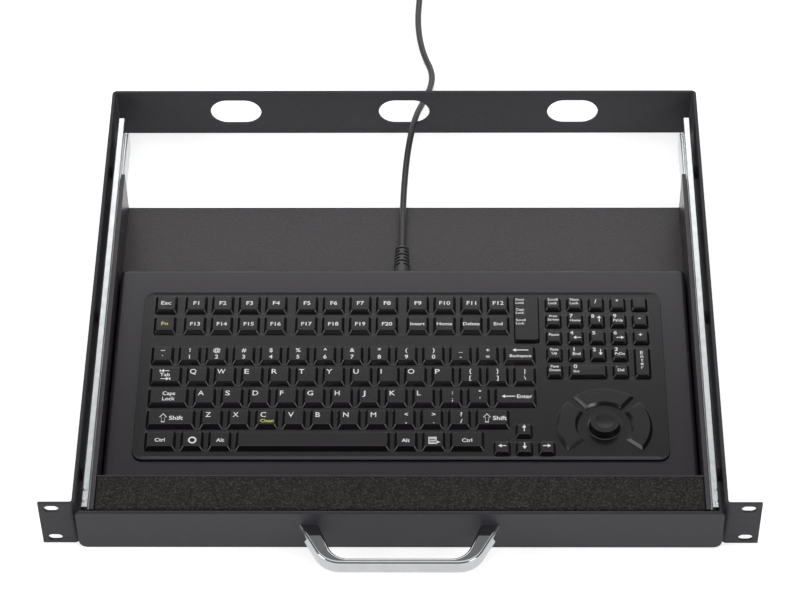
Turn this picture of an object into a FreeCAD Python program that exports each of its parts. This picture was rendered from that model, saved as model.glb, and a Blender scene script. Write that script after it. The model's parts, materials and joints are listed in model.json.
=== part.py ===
import FreeCAD, Part
import math
import os
from types import SimpleNamespace

import Sketcher

V = FreeCAD.Vector

# Driving dimensions in millimetres.
# X runs to the right, Y to the back and Z up. The origin is the middle of the
# four rack slots, on the rear face of the ears.
SIZES = (
    ("ear_span", 482.6, "width over the rack ears"),
    ("rack_height", 43.66, "height of a one-unit chassis"),
    ("slot_inset_x", 8.75, "rack slot centre from the end of the ear"),
    ("slot_inset_z", 5.955, "rack slot centre from the chassis edge"),
    ("ear_slot_length", 10.0, "rack slot, end to end"),
    ("ear_slot_width", 6.8, "rack slot, width"),
    ("ear_width", 22.6, "rack ear beyond the chassis wall"),
    ("chassis_depth", 383.0, "ear rear face to the back of the frame"),
    ("chassis_sheet", 2.0, "sheet of the chassis frame"),
    ("bend_radius", 1.5, "inside radius of the chassis bends"),
    ("cutout_length", 38.3, "cable cut-out in the rear wall, length"),
    ("cutout_height", 25.0, "cable cut-out in the rear wall, height"),
    ("cutout_inset", 91.7, "outer cable cut-outs from the chassis walls"),
    ("cutout_rise", 0.8, "cable cut-outs above mid-height"),
    ("slide_rear", 24.4, "slides end ahead of the back of the frame"),
    ("slide_start", -1.0, "front end of the slides behind the rear face of the ears"),
    ("slide_height", 35.0, "height of the fixed slide member"),
    ("slide_thickness", 10.95, "chassis wall to tray wall"),
    ("slide_gap", 3.4, "spacers between the chassis wall and a slide"),
    ("spacer_diameter", 9.0, "spacers of the slides"),
    ("member_step", 1.5, "inner slide members shorter at the rear than the next outer ones"),
    ("slide_sheet", 0.8, "sheet of the slide members"),
    ("slide_reach", 8.4, "flange of the fixed slide member, from the chassis wall"),
    ("middle_reach", 9.45, "flange of the middle slide member, from the chassis wall"),
    ("slide_lip", 1.5, "turned lip of the slide flanges"),
    ("slide_bend", 0.7, "inside radius of the slide bends"),
    ("lip_round", 0.75, "outer corner of the turned lips"),
    ("dimple_diameter", 3.4, "stop dimples near the front of the fixed slide member"),
    ("dimple_height", 0.6, "height of a stop dimple"),
    ("dimple_start", 5.0, "first stop dimple behind the front end of the slide"),
    ("dimple_pitch", 9.5, "second stop dimple behind the first"),
    ("running_gap", 0.15, "side clearance between slide pieces"),
    ("ball_diameter", 2.2, "slide balls"),
    ("ball_gap", 0.1, "ball to race clearance"),
    ("ball_pitch", 36.0, "balls along a cage"),
    ("cage_sheet", 0.35, "strip of the ball cages"),
    ("cage_length", 172.0, "length of a ball cage"),
    ("cage_start", 92.0, "ball cage behind the front end of the slide"),
    ("slide_screw_pitch", 140.0, "slide screws along each chassis wall"),
    ("tray_screw_pitch", 112.0, "slide screws along each tray wall"),
    ("slide_screw_diameter", 4.0, "slide screw shank"),
    ("tray_sheet", 1.5, "sheet of the tray"),
    ("tray_rear_gap", 81.0, "tray ends ahead of the back of the frame"),
    ("tray_lift", 0.83, "tray above the lower edge of the chassis"),
    ("tray_drop", 0.5, "tray flanges below the top of the slides"),
    ("tray_flange_gap", 1.2, "tray flange to the fixed slide member"),
    ("front_wall_drop", 2.9, "tray's front wall below the palm rest ledge"),
    ("panel_side_gap", 2.2, "front panel inside the chassis width"),
    ("panel_edge_gap", 0.33, "front panel above the lower edge of the chassis"),
    ("panel_sheet", 2.0, "front panel, thickness"),
    ("panel_gap", 2.0, "ears to the back of the front panel"),
    ("panel_chamfer", 2.5, "top corners of the front panel"),
    ("panel_round", 6.0, "bottom corners of the front panel"),
    ("panel_edge", 1.2, "rounded top edge of the front panel"),
    ("panel_screw_inset", 21.5, "outer panel screws from the panel's ends"),
    ("panel_screw_diameter", 4.0, "front panel screw shank"),
    ("panel_thread", 1.2, "panel screw depth in the panel"),
    ("panel_screw_drop", 7.4, "panel screws below the palm rest ledge"),
    ("handle_span", 135.0, "bow handle over its feet"),
    ("handle_foot", 13.4, "width of a handle foot"),
    ("handle_reach", 31.3, "handle ahead of the panel"),
    ("handle_grip", 4.6, "thickness of the grip"),
    ("handle_height", 12.0, "height of the handle section"),
    ("handle_level", -2.0, "middle of the handle above mid-height"),
    ("handle_lean", 17.0, "outer corner of the handle inside its foot"),
    ("handle_taper", 10.6, "inner corner of the handle inside its foot"),
    ("handle_outer_radius", 19.5, "outer corners of the handle"),
    ("handle_inner_radius", 14.0, "inner corners of the handle"),
    ("handle_edge", 1.9, "rounded edges of the handle"),
    ("handle_screw_diameter", 5.0, "handle screw shank"),
    ("handle_screw_grip", 6.0, "handle screw depth in a foot"),
    ("handle_screw_inset", 9.0, "handle screw from the foot's outer edge"),
    ("rest_rear", 26.0, "rear face of the palm rest ledge"),
    ("rest_sheet", 1.5, "sheet of the palm rest ledge"),
    ("rest_flange", 10.0, "front flange of the palm rest ledge"),
    ("rest_round", 0.7, "top edges of the palm rest lip"),
    ("pad_thickness", 3.2, "foam pad of the palm rest"),
    ("pad_gap", 0.3, "foam pad to its neighbours"),
    ("board_side_gap", 0.7, "keyboard housing to the tray walls"),
    ("board_gap", 4.0, "keyboard housing behind the palm rest"),
    ("board_depth", 197.0, "keyboard housing, depth"),
    ("cover_height", 15.0, "keyboard cover, height"),
    ("cover_wall", 2.0, "keyboard cover wall"),
    ("cover_round", 4.0, "keyboard cover, upright corners"),
    ("cover_edge", 3.0, "keyboard cover, rounded top edges"),
    ("base_sheet", 1.5, "keyboard base plate"),
    ("boss_diameter", 8.0, "screw bosses in the cover"),
    ("case_screw_diameter", 3.0, "case screw shank"),
    ("mat_side_margin", 19.55, "key mat inside the housing, at the sides"),
    ("mat_end_margin", 23.0, "key mat inside the housing, front and rear"),
    ("mat_round", 7.0, "key mat, corner radius"),
    ("mat_gap", 0.25, "key mat to the cover window"),
    ("mat_proud", 0.8, "key mat above the cover"),
    ("mat_flange", 2.0, "key mat rim, thickness"),
    ("mat_rim", 4.0, "key mat rim beyond the window"),
    ("circuit_sheet", 1.6, "circuit board, thickness"),
    ("circuit_margin", 7.0, "circuit board to the cover walls"),
    ("key_margin", 6.3, "key field to the edge of the mat"),
    ("key_web", 2.05, "mat between two keys"),
    ("key_slope", 2.4, "key side, base to top"),
    ("key_height", 3.6, "key above the mat"),
    ("key_skirt", 3.2, "key skirt inside the mat"),
    ("key_clearance", 0.3, "key to the mat around it"),
    ("pad_web", 2.85, "mat between two keypad keys"),
    ("pad_slope", 1.8, "keypad key side, base to top"),
    ("lamp_height", 3.0, "indicator block above the mat"),
    ("lamp_slope", 1.2, "indicator block side, base to top"),
    ("lamp_round", 2.2, "indicator block, upright corners"),
    ("led_diameter", 3.0, "indicator lamps"),
    ("led_pitch", 9.6, "indicator lamps, spacing"),
    ("pointer_radius", 10.0, "pointing button, top rim"),
    ("pointer_height", 7.2, "pointing button above the mat"),
    ("pointer_dish", 1.0, "dish of the pointing button, depth"),
    ("dish_span", 6.5, "dish of the pointing button, radius"),
    ("pointer_skirt", 0.7, "pointing button wider at its base"),
    ("pointer_travel", 1.0, "sideways travel of the pointing button"),
    ("pointer_stem", 6.0, "pointing button stem radius"),
    ("pointer_key", 2.5, "pointing button key radius"),
    ("carriage_radius", 11.5, "carriage of the pointing button"),
    ("carriage_sheet", 1.6, "carriage thickness"),
    ("ring_angle", 80.0, "ring buttons, sweep in degrees"),
    ("ring_height", 3.2, "ring buttons above the mat"),
    ("ring_slope", 1.8, "ring buttons, bevelled edge"),
    ("relief_height", 6.5, "middle of the cable exit above the base plate"),
    ("relief_x", -0.65, "cable exit, across"),
    ("relief_large", 12.2, "strain relief at the housing"),
    ("relief_small", 9.8, "strain relief at the cable"),
    ("relief_length", 26.4, "strain relief outside the housing"),
    ("relief_collar", 19.0, "strain relief flange inside the housing, width"),
    ("relief_ribs", 6.0, "slits in the strain relief"),
    ("relief_slit", 1.4, "width of a slit"),
    ("relief_pitch", 3.16, "slits of the strain relief, spacing"),
    ("relief_tip", 2.4, "first slit from the end of the strain relief"),
    ("relief_web", 2.6, "webs that bridge a slit"),
    ("cable_diameter", 4.8, "keyboard cable"),
    ("coil_radius", 27.7, "cable coil, middle of its turns"),
    ("coil_section", 8.0, "cable coil, radius of the bundle"),
    ("coil_x", -17.2, "cable coil, across"),
    ("coil_gap", 206.0, "cable coil behind the chassis"),
    ("tie_width", 5.0, "cable tie"),
    ("tie_sheet", 0.6, "cable tie, thickness"),
    ("tie_gap", 0.3, "cable tie to the bundle"),
    ("plug_width", 16.0, "plug body, width"),
    ("plug_thickness", 8.0, "plug body, thickness"),
    ("plug_length", 22.0, "plug body, length"),
    ("plug_round", 2.0, "plug body, rounded edges"),
    ("plug_boot", 10.0, "plug boot, length"),
    ("boot_small", 6.8, "plug boot at the cable"),
    ("boot_large", 7.6, "plug boot at the plug body"),
    ("shell_width", 12.0, "plug shell, width"),
    ("shell_thickness", 4.5, "plug shell, thickness"),
    ("shell_length", 18.8, "plug shell, length"),
    ("shell_sheet", 0.4, "plug shell, sheet"),
    ("fit", 0.1, "clearance of screws and fitted pieces"),
)

# Counts and proportions
PAN_HEAD = 1.75
PAN_HEIGHT = 0.4
COUNTERSINK = 0.8
END_SHARE = 0.998
FLANGE_SHARE = 0.9
DIMPLE_TOP = 0.55
RIM_SHARE = 0.8
BOSS_HOLE_SHARE = 0.8
BOSS_SCREW_SHARE = 0.7
CORNER_SHARE = 0.45
CIRCUIT_SCREW_ROWS = (-0.4, 0, 0.4)
BALLS_PER_ROW = 5
SLIDE_SCREWS = 3
DIMPLES = 2
FUNCTION_GROUPS = 3
FUNCTION_KEYS = 4
LAMPS = 3

# Key field: places and widths in key pitches, from its left edge and from its front row
FIELD_COLUMNS = 18.656
FIELD_ROWS = 7.265
FUNCTION_ROW = 5.44
FUNCTION_COLUMN = 1.617
FUNCTION_STEP = 4.15
PAD_SHARE = 0.806
PAD_COLUMN = 14.971
PAD_ROW = 3.222
ARROW_COLUMN = 13.785
ARROW_ROW = -0.3425
LAMP_COLUMN = 13.969
LAMP_ROW = 4.608
LAMP_WIDTH = 0.976
LAMP_DEPTH = 2.257
POINTER_COLUMN = 16.693
POINTER_ROW = 0.676
RING_INNER = 0.976
RING_OUTER = 1.732

doc = FreeCAD.newDocument("rackmount_keyboard")
sheet = doc.addObject("Spreadsheet::Sheet", "Sizes")
for row, (alias, amount, meaning) in enumerate(SIZES, start=1):
    sheet.set(f"A{row}", alias)
    sheet.set(f"B{row}", str(amount))
    sheet.setAlias(f"B{row}", alias)
    sheet.set(f"C{row}", meaning)
doc.recompute()


class Size:
    """A length that keeps its value together with the sheet expression behind it."""

    def __init__(self, value, text):
        self.value = value
        self.text = text

    def __add__(self, other):
        other = as_size(other)
        return Size(self.value + other.value, f"({self.text} + {other.text})")

    def __sub__(self, other):
        other = as_size(other)
        return Size(self.value - other.value, f"({self.text} - {other.text})")

    def __mul__(self, other):
        other = as_size(other)
        return Size(self.value * other.value, f"({self.text} * {other.text})")

    def __truediv__(self, other):
        other = as_size(other)
        return Size(self.value / other.value, f"({self.text} / {other.text})")

    def __neg__(self):
        return Size(-self.value, f"(0 - {self.text})")

    __radd__ = __add__
    __rmul__ = __mul__

    def __rsub__(self, other):
        return as_size(other) - self


def as_size(item):
    if isinstance(item, Size):
        return item
    return Size(float(item), f"({float(item):.6f})")


S = SimpleNamespace(**{alias: Size(sheet.get(alias), f"Sizes.{alias}") for alias, _, _ in SIZES})

# Sizes that follow from others
S.chassis_width = S.ear_span - S.ear_width * 2
S.ear_slot_pitch_x = S.ear_span - S.slot_inset_x * 2
S.ear_slot_pitch_z = S.rack_height - S.slot_inset_z * 2
S.cutout_pitch = S.chassis_width / 2 - S.cutout_inset
S.slide_length = S.chassis_depth - S.slide_start - S.slide_rear
S.tray_rear = S.chassis_depth - S.tray_rear_gap
S.tray_floor = S.tray_lift + S.tray_sheet - S.rack_height / 2
S.tray_top = S.slide_height / 2 - S.tray_drop
S.panel_width = S.chassis_width - S.panel_side_gap * 2
S.board_width = S.chassis_width - (S.chassis_sheet + S.slide_thickness + S.tray_sheet + S.board_side_gap) * 2
S.board_front = S.rest_rear + S.board_gap
S.board_top = S.tray_floor + S.base_sheet + S.cover_height
S.mat_width = S.board_width - S.mat_side_margin * 2
S.mat_depth = S.board_depth - S.mat_end_margin * 2
S.mat_front = S.board_front + S.mat_end_margin
S.key_pitch = (S.mat_width - S.key_margin * 2) / FIELD_COLUMNS
S.row_pitch = (S.mat_depth - S.key_margin * 2) / FIELD_ROWS
S.pad_pitch = S.key_pitch * PAD_SHARE
S.pad_row_pitch = S.row_pitch * PAD_SHARE
S.lamp_width = S.key_pitch * LAMP_WIDTH
S.lamp_depth = S.row_pitch * LAMP_DEPTH
S.ring_inner = S.key_pitch * RING_INNER
S.ring_outer = S.key_pitch * RING_OUTER


def column(count):
    """A place across the key field."""
    return S.key_margin - S.mat_width / 2 + S.key_pitch * count


def line(count):
    """A place along the depth of the key field; the space bar's row is 0."""
    return S.mat_front + S.key_margin + S.row_pitch * (count + 0.5)


# Levels and places that several pieces share
floor_level = -S.rack_height / 2
wall_outer = S.chassis_width / 2
wall_inner = wall_outer - S.chassis_sheet
tray_outer = wall_inner - S.slide_thickness
tray_inner = tray_outer - S.tray_sheet
panel_back = -(S.chassis_sheet + S.panel_gap)
panel_front = panel_back - S.panel_sheet
panel_low = floor_level + S.panel_edge_gap
tray_front = panel_back + S.tray_sheet
ledge_top = S.tray_top + S.fit - S.pad_thickness
board_rear = S.board_front + S.board_depth
base_top = S.tray_floor + S.base_sheet
cover_under = S.board_top - S.cover_wall
mat_top = S.board_top + S.mat_proud
mat_bottom = cover_under - S.mat_flange
mat_rear = S.mat_front + S.mat_depth
circuit_bottom = mat_bottom - S.circuit_sheet
skirt_bottom = mat_top - S.key_skirt
relief_level = base_top + S.relief_height
relief_end = board_rear + S.relief_length
lamp_middle = column(LAMP_COLUMN)
lamp_front = line(LAMP_ROW)
pointer_x = column(POINTER_COLUMN)
pointer_y = line(POINTER_ROW)
coil_y = S.chassis_depth + S.coil_gap
TURN_UP = FreeCAD.Rotation(V(1, 0, 0), 90)
TO_BACK = FreeCAD.Rotation(V(1, 0, 0), -90)
TO_FRONT = TURN_UP
TO_RIGHT = FreeCAD.Rotation(V(0, 1, 0), 90)
TO_LEFT = FreeCAD.Rotation(V(0, 1, 0), -90)
UPRIGHT = FreeCAD.Rotation()
PAST = 1.0
ORIGIN_POINT = (-1, 1)
AXIS_OF = {"DistanceX": -2, "DistanceY": -1}
nodes = []


def node(obj, label):
    obj.Label = label
    nodes.append(obj)
    return obj


def bind(obj, prop, size):
    obj.setExpression(prop, as_size(size).text)


def place(obj, spot, rotation=UPRIGHT):
    obj.Placement = FreeCAD.Placement(V(0, 0, 0), rotation)
    for axis, size in zip("xyz", spot):
        bind(obj, f"Placement.Base.{axis}", size)
    return obj


def box(name, low, high):
    obj = doc.addObject("Part::Box", name)
    low = [as_size(size) for size in low]
    for prop, first, last in zip(("Length", "Width", "Height"), low, high):
        bind(obj, prop, last - first)
    return place(obj, low)


def cylinder(name, spot, radius, height, rotation=UPRIGHT, sweep=None):
    obj = doc.addObject("Part::Cylinder", name)
    bind(obj, "Radius", radius)
    bind(obj, "Height", height)
    if sweep is not None:
        bind(obj, "Angle", sweep)
    return place(obj, spot, rotation)


def cone(name, spot, radius_low, radius_high, height, rotation=UPRIGHT):
    obj = doc.addObject("Part::Cone", name)
    bind(obj, "Radius1", radius_low)
    bind(obj, "Radius2", radius_high)
    bind(obj, "Height", height)
    return place(obj, spot, rotation)


def fuse(name, *pieces):
    obj = doc.addObject("Part::MultiFuse", name)
    obj.Shapes = list(pieces)
    return obj


def cut(name, base, tool):
    obj = doc.addObject("Part::Cut", name)
    obj.Base = base
    obj.Tool = tool
    return obj


def group(name, pieces):
    obj = doc.addObject("Part::Compound", name)
    obj.Links = list(pieces)
    return obj


def new_body(name):
    return doc.addObject("PartDesign::Body", name)


def new_sketch(body, role, offset):
    """A sketch on one of the body's own planes, moved along the plane's normal."""
    sketch = body.newObject("Sketcher::SketchObject", f"{body.Name}_sketch")
    plane = next(item for item in body.Origin.OriginFeatures if item.Role == role)
    sketch.AttachmentSupport = [(plane, "")]
    sketch.MapMode = "FlatFace"
    bind(sketch, "AttachmentOffset.Base.z", offset)
    return sketch


def pin(sketch, geometry, point, x, y):
    """Holds a sketch point at two sizes from the sketch origin."""
    for kind, size in (("DistanceX", as_size(x)), ("DistanceY", as_size(y))):
        if abs(size.value) < 1e-9:
            sketch.addConstraint(Sketcher.Constraint("PointOnObject", geometry, point, AXIS_OF[kind]))
            continue
        number = sketch.addConstraint(
            Sketcher.Constraint(kind, *ORIGIN_POINT, geometry, point, size.value))
        sketch.setExpression(f"Constraints[{number}]", size.text)


def outline(sketch, corners):
    """A closed outline of straight runs through corners given as pairs of sizes."""
    corners = [(as_size(x), as_size(y)) for x, y in corners]
    points = [V(x.value, y.value, 0) for x, y in corners]
    first = sketch.GeometryCount
    count = len(points)
    sketch.addGeometry([Part.LineSegment(points[i], points[(i + 1) % count]) for i in range(count)])
    for i in range(count):
        sketch.addConstraint(Sketcher.Constraint("Coincident", first + i, 2, first + (i + 1) % count, 1))
    for i, (x, y) in enumerate(corners):
        pin(sketch, first + i, 1, x, y)


def rectangle(sketch, low, high):
    outline(sketch, ((low[0], low[1]), (high[0], low[1]), (high[0], high[1]), (low[0], high[1])))


def circle(sketch, x, y, radius):
    x, y, radius = as_size(x), as_size(y), as_size(radius)
    ring = sketch.addGeometry(Part.Circle(V(x.value, y.value, 0), V(0, 0, 1), radius.value))
    pin(sketch, ring, 3, x, y)
    number = sketch.addConstraint(Sketcher.Constraint("Radius", ring, radius.value))
    sketch.setExpression(f"Constraints[{number}]", radius.text)


def pad(body, sketch, length, reverse=False):
    feature = body.newObject("PartDesign::Pad", f"{body.Name}_pad")
    feature.Profile = sketch
    feature.Reversed = reverse
    bind(feature, "Length", length)
    return feature


def pocket(body, sketch, depth, reverse=False):
    feature = body.newObject("PartDesign::Pocket", f"{body.Name}_pocket")
    feature.Profile = sketch
    feature.Reversed = reverse
    bind(feature, "Length", depth)
    return feature


def edges_along(shape, axis, spots):
    """Names of the straight edges along one axis that stand on given spots of the cross plane."""
    across = [i for i in range(3) if i != axis]
    wanted = [tuple(as_size(size).value for size in spot) for spot in spots]
    names = []
    for number, edge in enumerate(shape.Edges, start=1):
        if edge.Curve.TypeId != "Part::GeomLine" or abs(edge.Curve.Direction[axis]) < 0.999:
            continue
        spot = edge.Vertexes[0].Point
        if any(math.hypot(spot[across[0]] - a, spot[across[1]] - b) < 1e-3 for a, b in wanted):
            names.append(f"Edge{number}")
    return names


def dress(body, kind, names, prop, size):
    feature = body.newObject(f"PartDesign::{kind}", f"{body.Name}_{kind.lower()}")
    feature.Base = (feature.BaseFeature, names)
    bind(feature, prop, size)
    return feature


def round_edges(body, axis, spots, radius):
    doc.recompute()
    return dress(body, "Fillet", edges_along(body.Tip.Shape, axis, spots), "Radius", radius)


def chamfer_edges(body, axis, spots, size):
    doc.recompute()
    return dress(body, "Chamfer", edges_along(body.Tip.Shape, axis, spots), "Size", size)


def mirrored(x, y):
    return ((x, y), (-x, y))


def four_ways(x, y):
    return ((x, y), (-x, y), (x, -y), (-x, -y))


def obround_cut(body, spots, length, height, back, depth):
    """Slots with round ends, cut towards the back from the plane Y = back."""
    half = as_size(length) / 2
    rise = as_size(height) / 2
    sketch = new_sketch(body, "XZ_Plane", -back)
    for x, z in spots:
        rectangle(sketch, (x - half, z - rise), (x + half, z + rise))
    pocket(body, sketch, depth)
    corners = [(x + side * half, z + up * rise) for x, z in spots for side in (-1, 1) for up in (-1, 1)]
    doc.recompute()
    # The ends stay a hair short of a full half circle, so that the straight sides remain
    dress(body, "Fillet", edges_along(body.Tip.Shape, 1, corners), "Radius", rise * END_SHARE)


# Chassis: one bent sheet with two side walls, a rear wall and the rack ears
def chassis_frame():
    body = new_body("chassis_frame")
    ear = S.ear_span / 2
    inner_back = S.chassis_depth - S.chassis_sheet
    sketch = new_sketch(body, "XY_Plane", floor_level)
    outline(sketch, (
        (-ear, -S.chassis_sheet), (-wall_inner, -S.chassis_sheet), (-wall_inner, inner_back),
        (wall_inner, inner_back), (wall_inner, -S.chassis_sheet), (ear, -S.chassis_sheet),
        (ear, 0), (wall_outer, 0), (wall_outer, S.chassis_depth),
        (-wall_outer, S.chassis_depth), (-wall_outer, 0), (-ear, 0)))
    pad(body, sketch, S.rack_height)
    inside = mirrored(wall_outer, 0) + mirrored(wall_inner, inner_back)
    outside = mirrored(wall_inner, -S.chassis_sheet) + mirrored(wall_outer, S.chassis_depth)
    round_edges(body, 2, inside, S.bend_radius)
    round_edges(body, 2, outside, S.bend_radius + S.chassis_sheet)
    obround_cut(body, four_ways(S.ear_slot_pitch_x / 2, S.ear_slot_pitch_z / 2),
                S.ear_slot_length, S.ear_slot_width, -(S.chassis_sheet + PAST), S.chassis_sheet + 2 * PAST)
    cutouts = [(S.cutout_pitch * i, S.cutout_rise) for i in (-1, 0, 1)]
    obround_cut(body, cutouts, S.cutout_length, S.cutout_height,
                inner_back - PAST, S.chassis_sheet + 2 * PAST)
    drill_sides(body, wall_outer + PAST, S.slide_screw_diameter / 2 + S.fit, S.chassis_width + 2 * PAST)
    node(body, "chassis_frame")


def slide_screw_places():
    middle = S.slide_start + S.slide_length / 2
    return [middle + S.slide_screw_pitch * (i - (SLIDE_SCREWS - 1) / 2) for i in range(SLIDE_SCREWS)]


def tray_screw_places():
    middle = (tray_front + S.tray_rear) / 2
    return [middle + S.tray_screw_pitch * (i - (SLIDE_SCREWS - 1) / 2) for i in range(SLIDE_SCREWS)]


def drill_sides(body, start, radius, depth, places=None):
    """A row of round holes at mid-height, drilled from the right towards the left."""
    sketch = new_sketch(body, "YZ_Plane", start)
    for y in places or slide_screw_places():
        circle(sketch, y, 0, radius)
    pocket(body, sketch, depth)


# Telescopic slides: rolled channels that run in each other on caged balls
ball_radius = S.ball_diameter / 2
outer_half = S.slide_height / 2
outer_ball_level = outer_half - S.slide_sheet - S.ball_gap - ball_radius
middle_half = outer_ball_level - ball_radius - S.ball_gap
inner_ball_level = middle_half - S.slide_sheet - S.ball_gap - ball_radius
inner_half = inner_ball_level - ball_radius - S.ball_gap
outer_cage_web = S.slide_gap + S.slide_sheet + S.running_gap
middle_web = outer_cage_web + S.cage_sheet + S.running_gap
inner_cage_web = middle_web + S.slide_sheet + S.running_gap
inner_tip = inner_cage_web + S.cage_sheet + S.running_gap + S.fit
outer_ball_place = middle_web + S.slide_sheet + S.slide_bend
inner_ball_place = inner_cage_web + S.cage_sheet + ball_radius + S.fit * 2


def slide_profile(side, points):
    """Slide section: distance from the chassis wall and height, on one side of the chassis."""
    return [(side * (wall_inner - across), level) for across, level in points]


def channel(name, side, web, reach, half, length):
    """A rolled channel that opens away from the chassis wall, with turned lips."""
    body = new_body(name)
    inside = half - S.slide_sheet
    web_face = web + S.slide_sheet
    lip_face = reach - S.slide_sheet
    lip_end = half - S.slide_lip
    upper = [(web_face, inside), (lip_face, inside), (lip_face, lip_end), (reach, lip_end), (reach, half),
             (web, half)]
    lower = [(across, -level) for across, level in reversed(upper)]
    sketch = new_sketch(body, "XZ_Plane", -S.slide_start)
    outline(sketch, slide_profile(side, upper + lower))
    pad(body, sketch, length, reverse=True)
    for sign in (1, -1):
        round_edges(body, 1, slide_profile(side, [(web_face, sign * inside)]), S.slide_bend)
        round_edges(body, 1, slide_profile(side, [(web, sign * half)]), S.slide_bend + S.slide_sheet)
        round_edges(body, 1, slide_profile(side, [(reach, sign * half)]), S.lip_round)
    return body


def rounded_rear(name, member, half, end):
    """The member with its rear end rounded over the full height."""
    rise = half + PAST
    block = box(f"{name}_block", (-wall_outer, end - half, -rise), (wall_outer, end + PAST, rise))
    barrel = cylinder(f"{name}_barrel", (-(wall_outer + PAST), end - half, 0), half,
                      (wall_outer + PAST) * 2, TO_RIGHT)
    return cut(name, member, cut(f"{name}_corners", block, barrel))


def slide_members(side, hand):
    outer = channel(f"outer_channel_{hand}", side, S.slide_gap, S.slide_reach, outer_half, S.slide_length)
    web_end = S.slide_gap + S.slide_sheet + PAST
    drill_sides(outer, side * wall_inner + (PAST if side > 0 else web_end),
                S.slide_screw_diameter / 2 + S.fit, web_end + PAST)
    x = side * (wall_inner - (S.slide_gap + S.slide_reach) / 2)
    rise = outer_half + S.dimple_height
    tall = S.dimple_height + S.fit
    wide, narrow = S.dimple_diameter / 2, S.dimple_diameter * DIMPLE_TOP / 2
    dimples = []
    for i in range(DIMPLES):
        y = S.slide_start + S.dimple_start + S.dimple_pitch * i
        dimples.append(cone("dimple", (x, y, outer_half - S.fit), wide, narrow, tall, UPRIGHT))
        dimples.append(cone("dimple", (x, y, -rise), narrow, wide, tall, UPRIGHT))
    node(fuse(f"outer_{hand}", outer, *dimples), f"slide_outer_{hand}")
    length = S.slide_length - S.member_step
    middle = channel(f"middle_channel_{hand}", side, middle_web, S.middle_reach, middle_half, length)
    middle_end = S.slide_start + length
    node(rounded_rear(f"middle_{hand}", middle, middle_half, middle_end), f"slide_middle_{hand}")
    inner = new_body(f"inner_channel_{hand}")
    inside = inner_half - S.slide_sheet
    web_face = S.slide_thickness - S.slide_sheet
    upper = [(S.slide_thickness, inner_half), (inner_tip, inner_half), (inner_tip, inside),
             (web_face, inside)]
    lower = [(across, -level) for across, level in reversed(upper)]
    sketch = new_sketch(inner, "XZ_Plane", -S.slide_start)
    outline(sketch, slide_profile(side, upper + lower))
    pad(inner, sketch, length - S.member_step, reverse=True)
    for sign in (1, -1):
        round_edges(inner, 1, slide_profile(side, [(web_face, sign * inside)]), S.slide_bend)
        round_edges(inner, 1, slide_profile(side, [(S.slide_thickness, sign * inner_half)]),
                    S.slide_bend + S.slide_sheet)
    drill_sides(inner, side * tray_outer + (S.slide_sheet + PAST if side > 0 else PAST),
                S.slide_screw_diameter / 2 + S.fit, S.slide_sheet + 2 * PAST, tray_screw_places())
    inner_end = middle_end - S.member_step
    node(rounded_rear(f"inner_{hand}", inner, inner_half, inner_end), f"slide_inner_{hand}")


def ball_cage(name, side, web, ball_place, level):
    """A bent strip with a row of ball holes in each finger, and its balls."""
    body = new_body(f"cage_strip_{name}")
    finger = ball_place + ball_radius + S.cage_sheet
    half = S.cage_sheet / 2
    upper = [(web + S.cage_sheet, level - half), (finger, level - half), (finger, level + half),
             (web, level + half)]
    lower = [(across, -height) for across, height in reversed(upper)]
    start = S.slide_start + S.cage_start
    sketch = new_sketch(body, "XZ_Plane", -start)
    outline(sketch, slide_profile(side, upper + lower))
    pad(body, sketch, S.cage_length, reverse=True)
    middle = start + S.cage_length / 2
    rows = [middle + S.ball_pitch * (i - (BALLS_PER_ROW - 1) / 2) for i in range(BALLS_PER_ROW)]
    across = side * (wall_inner - ball_place)
    sketch = new_sketch(body, "XY_Plane", outer_half)
    for y in rows:
        circle(sketch, across, y, ball_radius + S.fit)
    pocket(body, sketch, S.slide_height)
    balls = []
    for y in rows:
        for sign in (1, -1):
            ball = doc.addObject("Part::Sphere", "ball")
            bind(ball, "Radius", ball_radius)
            balls.append(place(ball, (across, y, sign * level)))
    node(group(f"ball_cage_{name}", [body] + balls), f"ball_cage_{name}")


def screw(name, spot, rotation, head, head_height, shank, length):
    """A pan-head screw: the shank runs along the local Z from the head's seat."""
    x, y, z = spot
    back = rotation.multVec(V(0, 0, -1))
    seat = [as_size(size) + head_height * part for size, part in zip((x, y, z), back)]
    return fuse(name, cylinder("screw_head", seat, head / 2, head_height, rotation),
                cylinder("screw_shank", spot, shank / 2, length, rotation))


def slide_screws():
    head = S.slide_screw_diameter * PAN_HEAD
    head_height = S.slide_screw_diameter * PAN_HEIGHT
    frame_screws = []
    tray_screws = []
    hole = S.slide_screw_diameter / 2 + S.fit
    for side, inward in ((1, TO_LEFT), (-1, TO_RIGHT)):
        for y in slide_screw_places():
            frame_screws.append(screw("frame_screw", (side * wall_outer, y, 0), inward, head, head_height,
                                      S.slide_screw_diameter, S.chassis_sheet + S.slide_gap + S.slide_sheet))
            spot = (side * wall_inner, y, 0)
            ring = cylinder("spacer_ring", spot, S.spacer_diameter / 2, S.slide_gap, inward)
            frame_screws.append(cut("spacer", ring, cylinder("spacer_hole", spot, hole, S.slide_gap, inward)))
        for y in tray_screw_places():
            tray_screws.append(screw("tray_screw", (side * (tray_outer + S.slide_sheet), y, 0), inward, head,
                                     head_height, S.slide_screw_diameter, S.tray_sheet + S.slide_sheet))
    node(group("slide_frame_screws", frame_screws), "slide_frame_screws")
    node(group("slide_tray_screws", tray_screws), "slide_tray_screws")


# Tray: floor, side walls with outward flanges and a front wall
def case_screw_places():
    inset = S.boss_diameter / 2 + S.cover_wall + S.fit
    wide = S.board_width / 2 - inset
    rows = (S.board_front + inset, board_rear - inset)
    return [(wide * part, y) for y in rows for part in (-1, -1 / 3, 1 / 3, 1)]


def panel_screw_places():
    half = S.panel_width / 2 - S.panel_screw_inset
    return [(half * part, ledge_top - S.panel_screw_drop) for part in (-1, -1 / 3, 1 / 3, 1)]


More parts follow.
